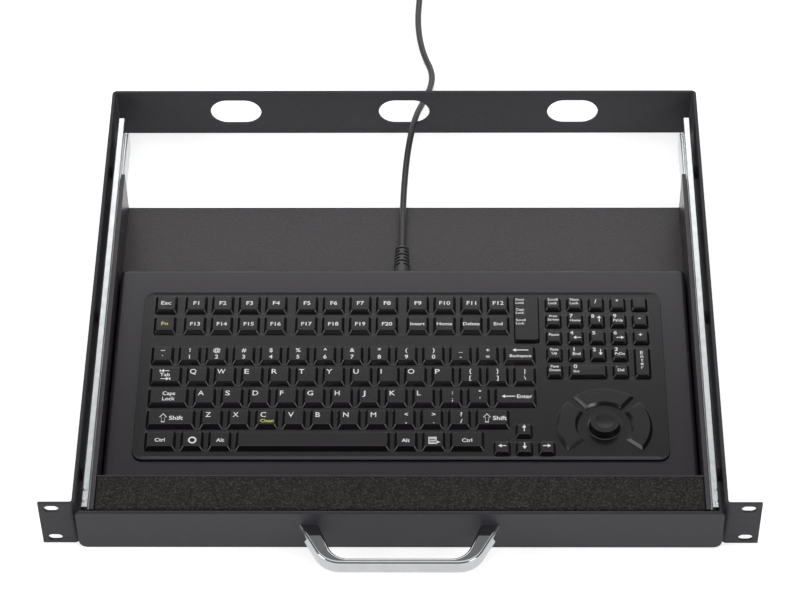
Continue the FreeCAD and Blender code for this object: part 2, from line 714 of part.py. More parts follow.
def handle_screw_places():
    half = S.handle_span / 2 - S.handle_screw_inset
    return mirrored(half, S.handle_level)


def drill_front(body, start, places, diameter, depth, forward=False):
    """Round holes for screws of that diameter, drilled towards the back or forward from Y = start."""
    sketch = new_sketch(body, "XZ_Plane", -start)
    for x, z in places:
        circle(sketch, x, z, diameter / 2 + S.fit)
    pocket(body, sketch, depth, reverse=forward)


def tray():
    body = new_body("tray")
    tip = wall_inner - S.slide_reach - S.tray_flange_gap
    under = S.tray_floor - S.tray_sheet
    flange = S.tray_top - S.tray_sheet
    right = [(tray_inner, S.tray_floor), (tray_inner, S.tray_top), (tip, S.tray_top), (tip, flange),
             (tray_outer, flange), (tray_outer, under)]
    left = [(-x, z) for x, z in reversed(right)]
    sketch = new_sketch(body, "XZ_Plane", -tray_front)
    outline(sketch, right + left)
    pad(body, sketch, S.tray_rear - tray_front, reverse=True)
    sketch = new_sketch(body, "XZ_Plane", -panel_back)
    rectangle(sketch, (-tray_outer, under), (tray_outer, ledge_top - S.front_wall_drop))
    pad(body, sketch, S.tray_sheet, reverse=True)
    round_edges(body, 2, mirrored(tip, S.tray_rear), (tip - tray_outer) * FLANGE_SHARE)
    round_edges(body, 1, mirrored(tray_outer, under), S.tray_sheet)
    through = S.tray_sheet + 2 * PAST
    drill_front(body, panel_back - PAST, panel_screw_places(), S.panel_screw_diameter, through)
    drill_front(body, panel_back - PAST, handle_screw_places(), S.handle_screw_diameter, through)
    drill_sides(body, tray_outer + PAST, S.slide_screw_diameter / 2 + S.fit, tray_outer * 2 + 2 * PAST,
                tray_screw_places())
    sketch = new_sketch(body, "XY_Plane", S.tray_floor + PAST)
    for x, y in case_screw_places():
        circle(sketch, x, y, S.case_screw_diameter / 2 + S.fit)
    pocket(body, sketch, S.tray_sheet + 2 * PAST)
    doc.recompute()
    rims = [f"Edge{number}" for number, edge in enumerate(body.Tip.Shape.Edges, start=1)
            if edge.Curve.TypeId == "Part::GeomCircle" and abs(edge.Curve.Axis.z) > 0.99
            and abs(edge.Curve.Center.z - under.value) < 1e-3]
    dress(body, "Chamfer", rims, "Size", S.tray_sheet * COUNTERSINK)
    node(body, "tray")


def front_panel():
    body = new_body("front_panel")
    half = S.panel_width / 2
    sketch = new_sketch(body, "XZ_Plane", -panel_back)
    rectangle(sketch, (-half, panel_low), (half, S.tray_top))
    pad(body, sketch, S.panel_sheet)
    chamfer_edges(body, 1, mirrored(half, S.tray_top), S.panel_chamfer)
    round_edges(body, 1, mirrored(half, panel_low), S.panel_round)
    round_edges(body, 0, ((panel_front, S.tray_top),), S.panel_edge)
    blind = S.panel_thread + S.fit + PAST
    drill_front(body, panel_back + PAST, panel_screw_places(), S.panel_screw_diameter, blind, forward=True)
    through = S.panel_sheet + 2 * PAST
    drill_front(body, panel_front - PAST, handle_screw_places(), S.handle_screw_diameter, through)
    node(body, "front_panel")


def handle():
    """Cast bow: wide feet, legs that lean inwards and narrow, and a slim straight grip."""
    body = new_body("handle")
    front = panel_front - S.handle_reach
    back = front + S.handle_grip
    foot = S.handle_span / 2
    shoulder = foot - S.handle_lean
    throat = foot - S.handle_foot - S.handle_taper
    sketch = new_sketch(body, "XY_Plane", S.handle_level - S.handle_height / 2)
    outline(sketch, (
        (-foot, panel_front), (-shoulder, front), (shoulder, front), (foot, panel_front),
        (foot - S.handle_foot, panel_front), (throat, back), (-throat, back),
        (S.handle_foot - foot, panel_front)))
    pad(body, sketch, S.handle_height)
    round_edges(body, 2, mirrored(shoulder, front), S.handle_outer_radius)
    round_edges(body, 2, mirrored(throat, back), S.handle_inner_radius)
    doc.recompute()
    levels = [(S.handle_level + side * S.handle_height / 2).value for side in (-1, 1)]
    rims = []
    for number, edge in enumerate(body.Tip.Shape.Edges, start=1):
        box_of = edge.BoundBox
        flat = box_of.ZLength < 1e-6 and min(abs(box_of.ZMin - level) for level in levels) < 1e-4
        if flat and box_of.YMin < panel_front.value - 1e-3:
            rims.append(f"Edge{number}")
    dress(body, "Fillet", rims, "Radius", S.handle_edge)
    blind = S.handle_screw_grip + S.fit + PAST
    drill_front(body, panel_front + PAST, handle_screw_places(), S.handle_screw_diameter, blind, forward=True)
    node(body, "handle")


def front_screws():
    panel_screws = []
    seat = tray_front + S.rest_sheet
    shank = S.panel_screw_diameter
    for x, z in panel_screw_places():
        length = S.rest_sheet + S.tray_sheet + S.panel_thread
        panel_screws.append(screw("panel_screw", (x, seat, z), TO_FRONT, shank * PAN_HEAD, shank * PAN_HEIGHT,
                                  shank, length))
    node(group("panel_screws", panel_screws), "panel_screws")
    handle_screws = []
    shank = S.handle_screw_diameter
    for x, z in handle_screw_places():
        length = S.tray_sheet + S.panel_sheet + S.handle_screw_grip
        handle_screws.append(screw("handle_screw", (x, tray_front, z), TO_FRONT, shank * PAN_HEAD,
                                   shank * PAN_HEIGHT, shank, length))
    node(group("handle_screws", handle_screws), "handle_screws")


def palm_rest():
    """A bent ledge across the tray, with a strip of foam lying on it."""
    body = new_body("palm_rest_ledge")
    half = tray_inner - S.pad_gap
    ledge_under = ledge_top - S.rest_sheet
    flange_face = tray_front + S.rest_sheet
    sketch = new_sketch(body, "YZ_Plane", -half)
    flange_end = ledge_top - S.rest_flange
    lip_face = S.rest_rear - S.rest_sheet
    lip_top = S.tray_top + S.fit
    outline(sketch, (
        (tray_front, ledge_top), (tray_front, flange_end), (flange_face, flange_end),
        (flange_face, ledge_under), (S.rest_rear, ledge_under), (S.rest_rear, lip_top), (lip_face, lip_top),
        (lip_face, ledge_top)))
    pad(body, sketch, half * 2)
    round_edges(body, 0, ((tray_front, ledge_top), (S.rest_rear, ledge_under)), S.rest_sheet)
    round_edges(body, 0, ((lip_face, lip_top), (S.rest_rear, lip_top)), S.rest_round)
    through = S.rest_sheet + 2 * PAST
    drill_front(body, tray_front - PAST, panel_screw_places(), S.panel_screw_diameter, through)
    node(body, "palm_rest_ledge")
    foam = new_body("palm_rest_pad")
    sketch = new_sketch(foam, "XY_Plane", ledge_top)
    rear = lip_face - S.fit
    rectangle(sketch, (-half, tray_front), (half, rear))
    pad(foam, sketch, S.pad_thickness)
    top = ledge_top + S.pad_thickness
    round_edges(foam, 0, ((tray_front, top),), S.pad_thickness / 3)
    node(foam, "palm_rest_pad")


# Keyboard housing
def circuit_corners():
    half = S.board_width / 2 - S.circuit_margin
    return (-half, S.board_front + S.circuit_margin * 2), (half, board_rear - S.circuit_margin * 2)


def circuit_screw_places():
    x = S.mat_width / 2 + S.mat_rim + S.boss_diameter / 2 + S.mat_gap
    middle = S.mat_front + S.mat_depth / 2
    return [(side * x, middle + S.mat_depth * part) for side in (-1, 1) for part in CIRCUIT_SCREW_ROWS]


def keyboard_cover():
    """A shallow moulded lid with a rounded window for the key mat and screw bosses inside."""
    body = new_body("keyboard_cover")
    half = S.board_width / 2
    sketch = new_sketch(body, "XY_Plane", base_top)
    rectangle(sketch, (-half, S.board_front), (half, board_rear))
    pad(body, sketch, S.board_top - base_top)
    corners = mirrored(half, S.board_front) + mirrored(half, board_rear)
    round_edges(body, 2, corners, S.cover_round)
    doc.recompute()
    rims = [f"Edge{number}" for number, edge in enumerate(body.Tip.Shape.Edges, start=1)
            if edge.BoundBox.ZMin > S.board_top.value - 1e-3]
    dress(body, "Fillet", rims, "Radius", S.cover_edge)
    sketch = new_sketch(body, "XY_Plane", cover_under)
    rectangle(sketch, (S.cover_wall - half, S.board_front + S.cover_wall),
              (half - S.cover_wall, board_rear - S.cover_wall))
    pocket(body, sketch, cover_under - base_top + PAST)
    window = S.mat_width / 2 + S.mat_gap
    low, high = S.mat_front - S.mat_gap, mat_rear + S.mat_gap
    sketch = new_sketch(body, "XY_Plane", S.board_top + PAST)
    rectangle(sketch, (-window, low), (window, high))
    pocket(body, sketch, S.cover_wall + 2 * PAST)
    round_edges(body, 2, mirrored(window, low) + mirrored(window, high), S.mat_round + S.mat_gap)
    sketch = new_sketch(body, "XY_Plane", cover_under + S.fit)
    for x, y in case_screw_places():
        circle(sketch, x, y, S.boss_diameter / 2)
    pad(body, sketch, cover_under - base_top + S.fit, reverse=True)
    sketch = new_sketch(body, "XY_Plane", cover_under + S.fit)
    for x, y in circuit_screw_places():
        circle(sketch, x, y, S.boss_diameter / 2 - S.fit)
    pad(body, sketch, S.mat_flange + S.fit, reverse=True)
    sketch = new_sketch(body, "XY_Plane", base_top - PAST)
    for x, y in case_screw_places():
        circle(sketch, x, y, S.case_screw_diameter / 2 + S.fit)
    pocket(body, sketch, (cover_under - base_top) * BOSS_HOLE_SHARE + PAST, reverse=True)
    sketch = new_sketch(body, "XY_Plane", mat_bottom - PAST)
    for x, y in circuit_screw_places():
        circle(sketch, x, y, S.case_screw_diameter / 2 + S.fit)
    pocket(body, sketch, S.mat_flange + S.cover_wall / 2 + PAST, reverse=True)
    sketch = new_sketch(body, "XZ_Plane", -(board_rear - S.cover_wall - PAST))
    circle(sketch, S.relief_x, relief_level, S.relief_large / 2 + S.fit)
    pocket(body, sketch, S.cover_wall + 2 * PAST)
    node(body, "keyboard_cover")


def keyboard_inside():
    half = S.board_width / 2
    plate = new_body("keyboard_base_plate")
    sketch = new_sketch(plate, "XY_Plane", S.tray_floor)
    rectangle(sketch, (-half, S.board_front), (half, board_rear))
    pad(plate, sketch, S.base_sheet)
    round_edges(plate, 2, mirrored(half, S.board_front) + mirrored(half, board_rear), S.cover_round)
    sketch = new_sketch(plate, "XY_Plane", base_top + PAST)
    for x, y in case_screw_places():
        circle(sketch, x, y, S.case_screw_diameter / 2 + S.fit)
    pocket(plate, sketch, S.base_sheet + 2 * PAST)
    node(plate, "keyboard_base_plate")

    circuit = new_body("circuit_board")
    sketch = new_sketch(circuit, "XY_Plane", circuit_bottom)
    rectangle(sketch, *circuit_corners())
    pad(circuit, sketch, S.circuit_sheet)
    sketch = new_sketch(circuit, "XY_Plane", mat_bottom + PAST)
    for x, y in circuit_screw_places():
        circle(sketch, x, y, S.case_screw_diameter / 2 + S.fit)
    pocket(circuit, sketch, S.circuit_sheet + 2 * PAST)
    node(circuit, "circuit_board")

    circuit_screws = []
    shank = S.case_screw_diameter
    length = S.circuit_sheet + S.mat_flange + S.cover_wall / 4
    for x, y in circuit_screw_places():
        circuit_screws.append(screw("circuit_screw", (x, y, circuit_bottom), UPRIGHT, shank * PAN_HEAD,
                                    shank * PAN_HEIGHT, shank, length))
    node(group("circuit_screws", circuit_screws), "circuit_screws")
    case_screws = []
    under = S.tray_floor - S.tray_sheet
    head = S.tray_sheet * COUNTERSINK
    radius = S.case_screw_diameter / 2
    for x, y in case_screw_places():
        length = S.tray_sheet + S.base_sheet + (cover_under - base_top) * BOSS_SCREW_SHARE
        countersunk = cone("screw_cone", (x, y, under), radius + head - S.fit, radius, head)
        shank = cylinder("screw_shank", (x, y, under), radius, length)
        case_screws.append(fuse("case_screw", countersunk, shank))
    node(group("case_screws", case_screws), "case_screws")


# Keys: each is a skirt in the mat with a narrowing top above it
def key_solid(x, y, width, depth, slope, height, grow=None):
    """One key, or with grow the well that the key moves in."""
    low = skirt_bottom if grow is None else mat_bottom - PAST
    spare = as_size(0) if grow is None else grow
    half_x = width / 2 + spare
    half_y = depth / 2 + spare
    high = mat_top if grow is None else mat_top + PAST
    body = box("key_skirt", (x - half_x, y - half_y, low), (x + half_x, y + half_y, high))
    if grow is not None:
        return body
    top = doc.addObject("Part::Wedge", "key_top")
    for prop, size in (("Xmin", -half_x), ("Xmax", half_x), ("Zmin", -half_y), ("Zmax", half_y),
                       ("X2min", slope - half_x), ("X2max", half_x - slope), ("Z2min", slope - half_y),
                       ("Z2max", half_y - slope), ("Ymin", as_size(0)), ("Ymax", height)):
        bind(top, prop, size)
    place(top, (x, y, mat_top), TURN_UP)
    return fuse("key", body, top)


def main_rows():
    """Rows of main keys: node, middle of the row, left edge and widths in key pitches."""
    left = column(0)
    row = [line(i) for i in range(5)]
    yield row[0], left, [("modifier_keys", 1.3)] + [("modifier_keys", 1)] * 2 + [("space_bar", 5.72)] + \
        [("modifier_keys", 1)] * 2 + [("modifier_keys", 1.4)]
    yield row[1], left, [("left_shift_key", 1.95)] + [("lower_letter_keys", 1)] * 10 + \
        [("right_shift_key", 1.4)]
    yield row[2], left, [("caps_lock_key", 1.65)] + [("home_row_keys", 1)] * 11 + [("enter_key", 1.7)]
    yield row[3], left, [("tab_key", 1.35)] + [("upper_letter_keys", 1)] * 13
    yield row[4], left, [("number_keys", 1)] * 13 + [("backspace_key", 1.35)]
    for level, name in ((0, "upper_function_keys"), (1, "function_keys")):
        y = line(FUNCTION_ROW + level)
        yield y, left, [("escape_and_fn_keys", 1)]
        for i in range(FUNCTION_GROUPS):
            yield y, column(FUNCTION_COLUMN + FUNCTION_STEP * i - 0.5), [(name, 1)] * FUNCTION_KEYS


def main_keys():
    """Places of the keys of the main block: node, middle, width and depth."""
    for y, left, widths in main_rows():
        done = 0
        for name, width in widths:
            yield name, left + S.key_pitch * (done + width / 2), y, S.key_pitch * width - S.key_web, \
                S.row_pitch - S.key_web, S.key_slope
            done = round(done + width, 6)


def small_keys():
    """Places of the keypad keys and the arrow keys."""
    wide = S.pad_pitch - S.pad_web
    deep = S.pad_row_pitch - S.pad_web
    x = [column(PAD_COLUMN + PAD_SHARE * i) for i in range(5)]
    y = [line(PAD_ROW + PAD_SHARE * i) for i in range(5)]
    for i in range(5):
        for j in range(1, 5):
            if (i, j) != (4, 1):
                yield "keypad_keys", x[i], y[j], wide, deep, S.pad_slope
    for i in (0, 3):
        yield "keypad_keys", x[i], y[0], wide, deep, S.pad_slope
    yield "keypad_zero_key", column(PAD_COLUMN + PAD_SHARE * 1.5), y[0], wide + S.pad_pitch, deep, S.pad_slope
    yield "keypad_enter_key", x[4], line(PAD_ROW + PAD_SHARE * 0.5), wide, deep + S.pad_row_pitch, S.pad_slope
    for across, up in ((0, 1), (-1, 0), (0, 0), (1, 0)):
        yield "arrow_keys", column(ARROW_COLUMN + PAD_SHARE * across), line(ARROW_ROW + PAD_SHARE * up), \
            wide, deep, S.pad_slope


def ring_sector(turn, grow=None):
    """A ring button that sweeps about the pointing button, or with grow its well."""
    spare = as_size(0) if grow is None else grow
    extra = spare / S.ring_inner * math.degrees(1)
    low = skirt_bottom if grow is None else mat_bottom - PAST
    height = mat_top + S.ring_height - low
    rotation = FreeCAD.Rotation(V(0, 0, 1), turn - S.ring_angle.value / 2 - extra.value)
    spot = (pointer_x, pointer_y, low)
    wide = cylinder("ring_sector", spot, S.ring_outer + spare, height, rotation, S.ring_angle + extra * 2)
    hole = cylinder("ring_hole", spot, S.ring_inner - spare, height)
    return cut("ring_button", wide, hole)


def bevel_top(obj, size, level):
    """Bevels the edges that lie on the piece's upper face."""
    doc.recompute()
    feature = doc.addObject("Part::Chamfer", f"{obj.Name}_bevel")
    feature.Base = obj
    feature.Edges = [(number, size.value, size.value) for number, edge in enumerate(obj.Shape.Edges, start=1)
                     if edge.BoundBox.ZMin > level.value - 1e-4]
    return feature


RING_TURNS = (("pointer_left_button", 180), ("pointer_middle_button", 90), ("pointer_right_button", 0))


def lamp_corners(spare):
    half = S.lamp_width / 2 + spare
    return (lamp_middle - half, lamp_front - spare), (lamp_middle + half, lamp_front + S.lamp_depth + spare)


def lamp_places():
    middle = lamp_front + S.lamp_depth / 2
    return [middle + S.led_pitch * (i - (LAMPS - 1) / 2) for i in range(LAMPS)]


def keys_and_mat():
    pieces = {}
    wells = []
    for name, x, y, width, depth, slope in list(main_keys()) + list(small_keys()):
        pieces.setdefault(name, []).append(key_solid(x, y, width, depth, slope, S.key_height))
        wells.append(key_solid(x, y, width, depth, slope, S.key_height, grow=S.key_clearance))
    for name, solids in pieces.items():
        node(solids[0] if len(solids) == 1 else group(name, solids), name)
    for name, turn in RING_TURNS:
        node(bevel_top(ring_sector(turn), S.ring_slope, mat_top + S.ring_height), name)
        wells.append(ring_sector(turn, grow=S.key_clearance))
    low, high = lamp_corners(S.fit)
    wells.append(box("lamp_well", (*low, mat_bottom - PAST), (*high, mat_top + PAST)))
    spot = (pointer_x, pointer_y)
    collar = S.pointer_radius + S.pointer_skirt + S.pointer_travel * math.sqrt(2) + S.key_clearance
    cavity = S.carriage_radius + S.pointer_travel + S.key_clearance
    cavity_top = mat_bottom + S.carriage_sheet + S.fit * 2 + S.key_clearance * 2
    collar_depth = mat_top - mat_bottom + PAST
    cavity_depth = cavity_top - mat_bottom + PAST
    wells.append(cylinder("pointer_collar", (*spot, mat_bottom), collar, collar_depth))
    wells.append(cylinder("pointer_cavity", (*spot, mat_bottom - PAST), cavity, cavity_depth))

    blank = new_body("mat_blank")
    half = S.mat_width / 2
    rim = half + S.mat_rim
    front, rear = S.mat_front - S.mat_rim, mat_rear + S.mat_rim
    sketch = new_sketch(blank, "XY_Plane", mat_bottom)
    rectangle(sketch, (-rim, front), (rim, rear))
    pad(blank, sketch, S.mat_flange)
    sketch = new_sketch(blank, "XY_Plane", cover_under - S.fit)
    rectangle(sketch, (-half, S.mat_front), (half, mat_rear))
    pad(blank, sketch, mat_top - cover_under + S.fit)
    round_edges(blank, 2, mirrored(half, S.mat_front) + mirrored(half, mat_rear), S.mat_round)
    doc.recompute()
    rims = [f"Edge{number}" for number, edge in enumerate(blank.Tip.Shape.Edges, start=1)
            if edge.BoundBox.ZMin > mat_top.value - 1e-3]
    dress(blank, "Fillet", rims, "Radius", S.mat_proud * RIM_SHARE)
    node(cut("key_mat", blank, group("key_wells", wells)), "key_mat")


def indicator():
    low, high = lamp_corners(as_size(0))
    block = box("lamp_base", (*low, mat_bottom), (*high, mat_top))
    top = doc.addObject("Part::Wedge", "lamp_top")
    half_x = S.lamp_width / 2
    half_y = S.lamp_depth / 2
    slope = S.lamp_slope
    for prop, size in (("Xmin", -half_x), ("Xmax", half_x), ("Zmin", -half_y), ("Zmax", half_y),
                       ("X2min", slope - half_x), ("X2max", half_x - slope), ("Z2min", slope - half_y),
                       ("Z2max", half_y - slope), ("Ymin", as_size(0)), ("Ymax", S.lamp_height)):
        bind(top, prop, size)
    place(top, (lamp_middle, lamp_front + half_y, mat_top), TURN_UP)
    bore = S.led_diameter / 2 + S.fit
    depth = mat_top - mat_bottom
    bores = []
    lamps = []
    for y in lamp_places():
        bores.append(cylinder("lamp_bore", (lamp_middle, y, mat_bottom - PAST), bore, depth + PAST + S.fit))
        lamps.append(cylinder("lamp", (lamp_middle, y, mat_bottom), S.led_diameter / 2, depth))
    form = fuse("lamp_block", block, top)
    doc.recompute()
    rounded = doc.addObject("Part::Fillet", "lamp_rounded")
    rounded.Base = form
    radius = S.lamp_round.value
    rounded.Edges = [(number, radius, radius) for number, edge in enumerate(form.Shape.Edges, start=1)
                     if edge.BoundBox.ZLength > S.lamp_height.value - 1e-3]
    node(cut("indicator_block", rounded, group("lamp_bores", bores)), "indicator_block")
    node(group("indicator_lamps", lamps), "indicator_lamps")


def pointing_button():
    """A dished round button that slides on a small carriage under the mat."""
    x, y = pointer_x, pointer_y
    carriage_low = mat_bottom + S.fit * 2
    carriage_top = carriage_low + S.carriage_sheet
    button_low = carriage_top + S.fit * 2
    flare = mat_top - S.mat_proud
    top = mat_top + S.pointer_height
    key_reach = S.pointer_key + S.pointer_travel + S.key_clearance
    key_side = S.pointer_key + S.key_clearance
    plate = cylinder("carriage_plate", (x, y, carriage_low), S.carriage_radius, S.carriage_sheet)
    slot = box("carriage_slot", (x - key_reach, y - key_side, carriage_low - PAST),
               (x + key_reach, y + key_side, carriage_top + PAST))
    node(cut("pointer_carriage", plate, slot), "pointer_carriage")

    cap = cone("button_cap", (x, y, flare), S.pointer_radius + S.pointer_skirt, S.pointer_radius, top - flare)
    stem = cylinder("button_stem", (x, y, button_low), S.pointer_stem, flare - button_low)
    key = cylinder("button_key", (x, y, carriage_low + S.fit * 2), S.pointer_key, flare - carriage_low)
    dish = doc.addObject("Part::Sphere", "button_dish")
    dish_radius = (S.dish_span * S.dish_span + S.pointer_dish * S.pointer_dish) / (S.pointer_dish * 2)
    bind(dish, "Radius", dish_radius)
    place(dish, (x, y, top + dish_radius - S.pointer_dish))
    node(cut("pointer_button", fuse("button_form", cap, stem, key), dish), "pointer_button")


def strain_relief():
    """A tapered sleeve behind the housing, slit on alternate sides so that it bends."""
    x, z = S.relief_x, relief_level
    inside = board_rear - S.cover_wall
    collar_length = S.cover_wall
    collar_rise = S.relief_large / 2
    collar = box("relief_collar", (x - S.relief_collar / 2, inside - collar_length, z - collar_rise),
                 (x + S.relief_collar / 2, inside, z + collar_rise))
    neck = cylinder("relief_neck", (x, inside, z), S.relief_large / 2, S.cover_wall, TO_BACK)
    sleeve = cone("relief_sleeve", (x, board_rear, z), S.relief_large / 2, S.relief_small / 2,
                  S.relief_length, TO_BACK)
    form = fuse("relief_form", collar, neck, sleeve)
    bore = cylinder("relief_bore", (x, inside - collar_length - PAST, z), S.cable_diameter / 2 + S.fit,
                    S.relief_length + S.cover_wall + collar_length + 2 * PAST, TO_BACK)
    slits = [bore]
    reach = S.relief_large
    last = relief_end - S.relief_tip - S.relief_slit / 2
    for i in range(round(S.relief_ribs.value)):
        start = last - S.relief_pitch * i
        end = start + S.relief_slit
        wide, high = (S.relief_web / 2, reach) if i % 2 else (reach, S.relief_web / 2)
        ring = cylinder("relief_ring", (x, start, z), reach, S.relief_slit, TO_BACK)
        web = box("relief_web", (x - wide, start - PAST, z - high), (x + wide, end + PAST, z + high))
        slits.append(cut("relief_slit", ring, web))
    node(cut("strain_relief", form, group("relief_slits", slits)), "strain_relief")


# Cable: leaves the strain relief, crosses the rear wall through the middle cut-out
# and lies on the floor behind, where the rest of its length is coiled
tie_inner = S.coil_section + S.tie_gap
coil_level = floor_level + tie_inner + S.tie_sheet + S.fit
plug_x = S.coil_x - S.coil_radius
plug_level = coil_level + S.coil_section + S.plug_thickness / 2 + S.fit
boot_start = coil_y + S.boot_small / 2
cable_floor = floor_level + S.cable_diameter / 2
edge_level = S.cutout_rise - S.cutout_height / 2 + S.cable_diameter


def cable_route():
    """Points from the strain relief over the cut-out's lower edge and along the floor to the coil."""
    span = S.chassis_depth - relief_end
    wall = S.chassis_depth
    x = S.relief_x
    return (
        (x, relief_end, relief_level),
        (x + 0.1, relief_end + span * 0.24, relief_level - 1.5),
        (x + 1.0, relief_end + span * 0.50, relief_level - 0.9),
        (x + 3.4, relief_end + span * 0.77, edge_level - 4.6),
        (x + 8.6, wall, edge_level),
        (x + 15.6, wall + 23, edge_level - 5.6),
        (x + 20.9, wall + 43, cable_floor + 1.8),
        (x + 22.0, wall + 60, cable_floor),
        (x + 15.5, wall + 78, cable_floor),
        (x + 11.6, wall + 98, cable_floor),
        (x + 10.2, wall + 121, cable_floor),
        (x + 12.0, wall + 147, cable_floor),
        (S.coil_x + S.coil_radius, coil_y - 18, cable_floor),
    )


def tail_route():
    """Points from the coil up into the plug that lies on it."""
    return (
        (plug_x + 13.0, coil_y + 23.0, coil_level + 5.5),
        (plug_x + 3.5, coil_y + 15.5, plug_level - 1.5),
        (plug_x, boot_start, plug_level),
    )


def rounded_path(points):
    """Straight runs joined by tangent arcs that are as large as the runs allow."""
    edges = []
    last = points[0]
    for before, corner, after in zip(points, points[1:], points[2:]):
        back = (before - corner).normalize()
        ahead = (after - corner).normalize()
        tangent = CORNER_SHARE * min((corner - before).Length, (after - corner).Length)
        turn = math.pi - back.getAngle(ahead)
        radius = tangent / math.tan(turn / 2)
        start = corner + back * tangent
        end = corner + ahead * tangent
        inward = (back + ahead).normalize()
        middle = corner + inward * (radius / math.cos(turn / 2) - radius)
        edges.append(Part.LineSegment(last, start).toShape())
        edges.append(Part.Arc(start, middle, end).toShape())
        last = end
        print(f"cable arc radius {radius:.1f} mm")
    edges.append(Part.LineSegment(last, points[-1]).toShape())
    return Part.Wire(edges)


def tube(label, route):
    points = [V(*(as_size(size).value for size in point)) for point in route]
    path = rounded_path(points)
    start = points[0]
    heading = points[1] - start
    radius = S.cable_diameter.value / 2
    profile = Part.Wire([Part.Circle(start, heading, radius).toShape()])
    solid = path.makePipeShell([profile], True, True)
    share = solid.Volume / (math.pi * radius * radius * path.Length)
    print(f"{label}: length {path.Length:.1f} mm, volume {share:.4f} of section times length")
    feature = doc.addObject("Part::Feature", label)
    feature.Shape = solid
    node(feature, label)


def cable():
    tube("cable_run", cable_route())
    tube("cable_tail", tail_route())
    coil = doc.addObject("Part::Torus", "cable_coil")
    bind(coil, "Radius1", S.coil_radius)
    bind(coil, "Radius2", S.coil_section)
    node(place(coil, (S.coil_x, coil_y, coil_level)), "cable_coil")
    start = S.coil_x - S.tie_width / 2
    band_spot = (start, coil_y + S.coil_radius, coil_level)
    hole_spot = (start - PAST, coil_y + S.coil_radius, coil_level)
    band = cylinder("tie_band", band_spot, tie_inner + S.tie_sheet, S.tie_width, TO_RIGHT)
    hole = cylinder("tie_hole", hole_spot, tie_inner, S.tie_width + 2 * PAST, TO_RIGHT)
    node(cut("cable_tie", band, hole), "cable_tie")

    x = plug_x
    body_rear = boot_start - S.plug_boot
    boot = cone("plug_boot", (x, boot_start, plug_level), S.boot_small / 2, S.boot_large / 2,
                S.plug_boot, TO_FRONT)
    half = S.plug_width / 2
    rise = S.plug_thickness / 2
    form = box("plug_form", (x - half, body_rear - S.plug_length, plug_level - rise),
               (x + half, body_rear, plug_level + rise))
    doc.recompute()
    rounded = doc.addObject("Part::Fillet", "plug_rounded")
    rounded.Base = form
    round_size = S.plug_round.value
    rounded.Edges = [(number, round_size, round_size) for number, edge in enumerate(form.Shape.Edges, start=1)
                     if edge.BoundBox.YLength > S.plug_length.value - 1e-3]
    node(fuse("plug_body", boot, rounded), "plug_body")
    front = body_rear - S.plug_length
    wide = S.shell_width / 2
    thick = S.shell_thickness / 2
    outer = box("shell_form", (x - wide, front - S.shell_length, plug_level - thick),
                (x + wide, front, plug_level + thick))
    hollow = box("shell_hollow", (x - wide + S.shell_sheet, front - S.shell_length - PAST,
                                  plug_level - thick + S.shell_sheet),
                 (x + wide - S.shell_sheet, front - S.shell_sheet, plug_level + thick - S.shell_sheet))
    node(cut("plug_shell", outer, hollow), "plug_shell")


chassis_frame()
for side, hand in ((-1, "left"), (1, "right")):
    slide_members(side, hand)
    ball_cage(f"outer_{hand}", side, outer_cage_web, outer_ball_place, outer_ball_level)
    ball_cage(f"inner_{hand}", side, inner_cage_web, inner_ball_place, inner_ball_level)
slide_screws()
tray()
front_panel()
handle()
front_screws()
palm_rest()
keyboard_cover()
keyboard_inside()
keys_and_mat()
indicator()
pointing_button()
strain_relief()
cable()
doc.recompute()

for obj in doc.Objects:
    if "Invalid" in obj.State or "Error" in obj.State:
        raise SystemExit(f"{obj.Name} ({obj.Label}) is {obj.State}")
for obj in nodes:
    if obj.Shape.isNull() or not obj.Shape.isValid():
        raise SystemExit(f"{obj.Label} has no valid shape")
os.makedirs("parts", exist_ok=True)
for obj in nodes:
    obj.Shape.exportStep(f"parts/{obj.Label}.step")
print(f"{len(nodes)} nodes written")
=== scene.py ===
import json
import math

import bmesh
import bpy
from mathutils import Matrix, Vector, noise
from mathutils.geometry import tessellate_polygon

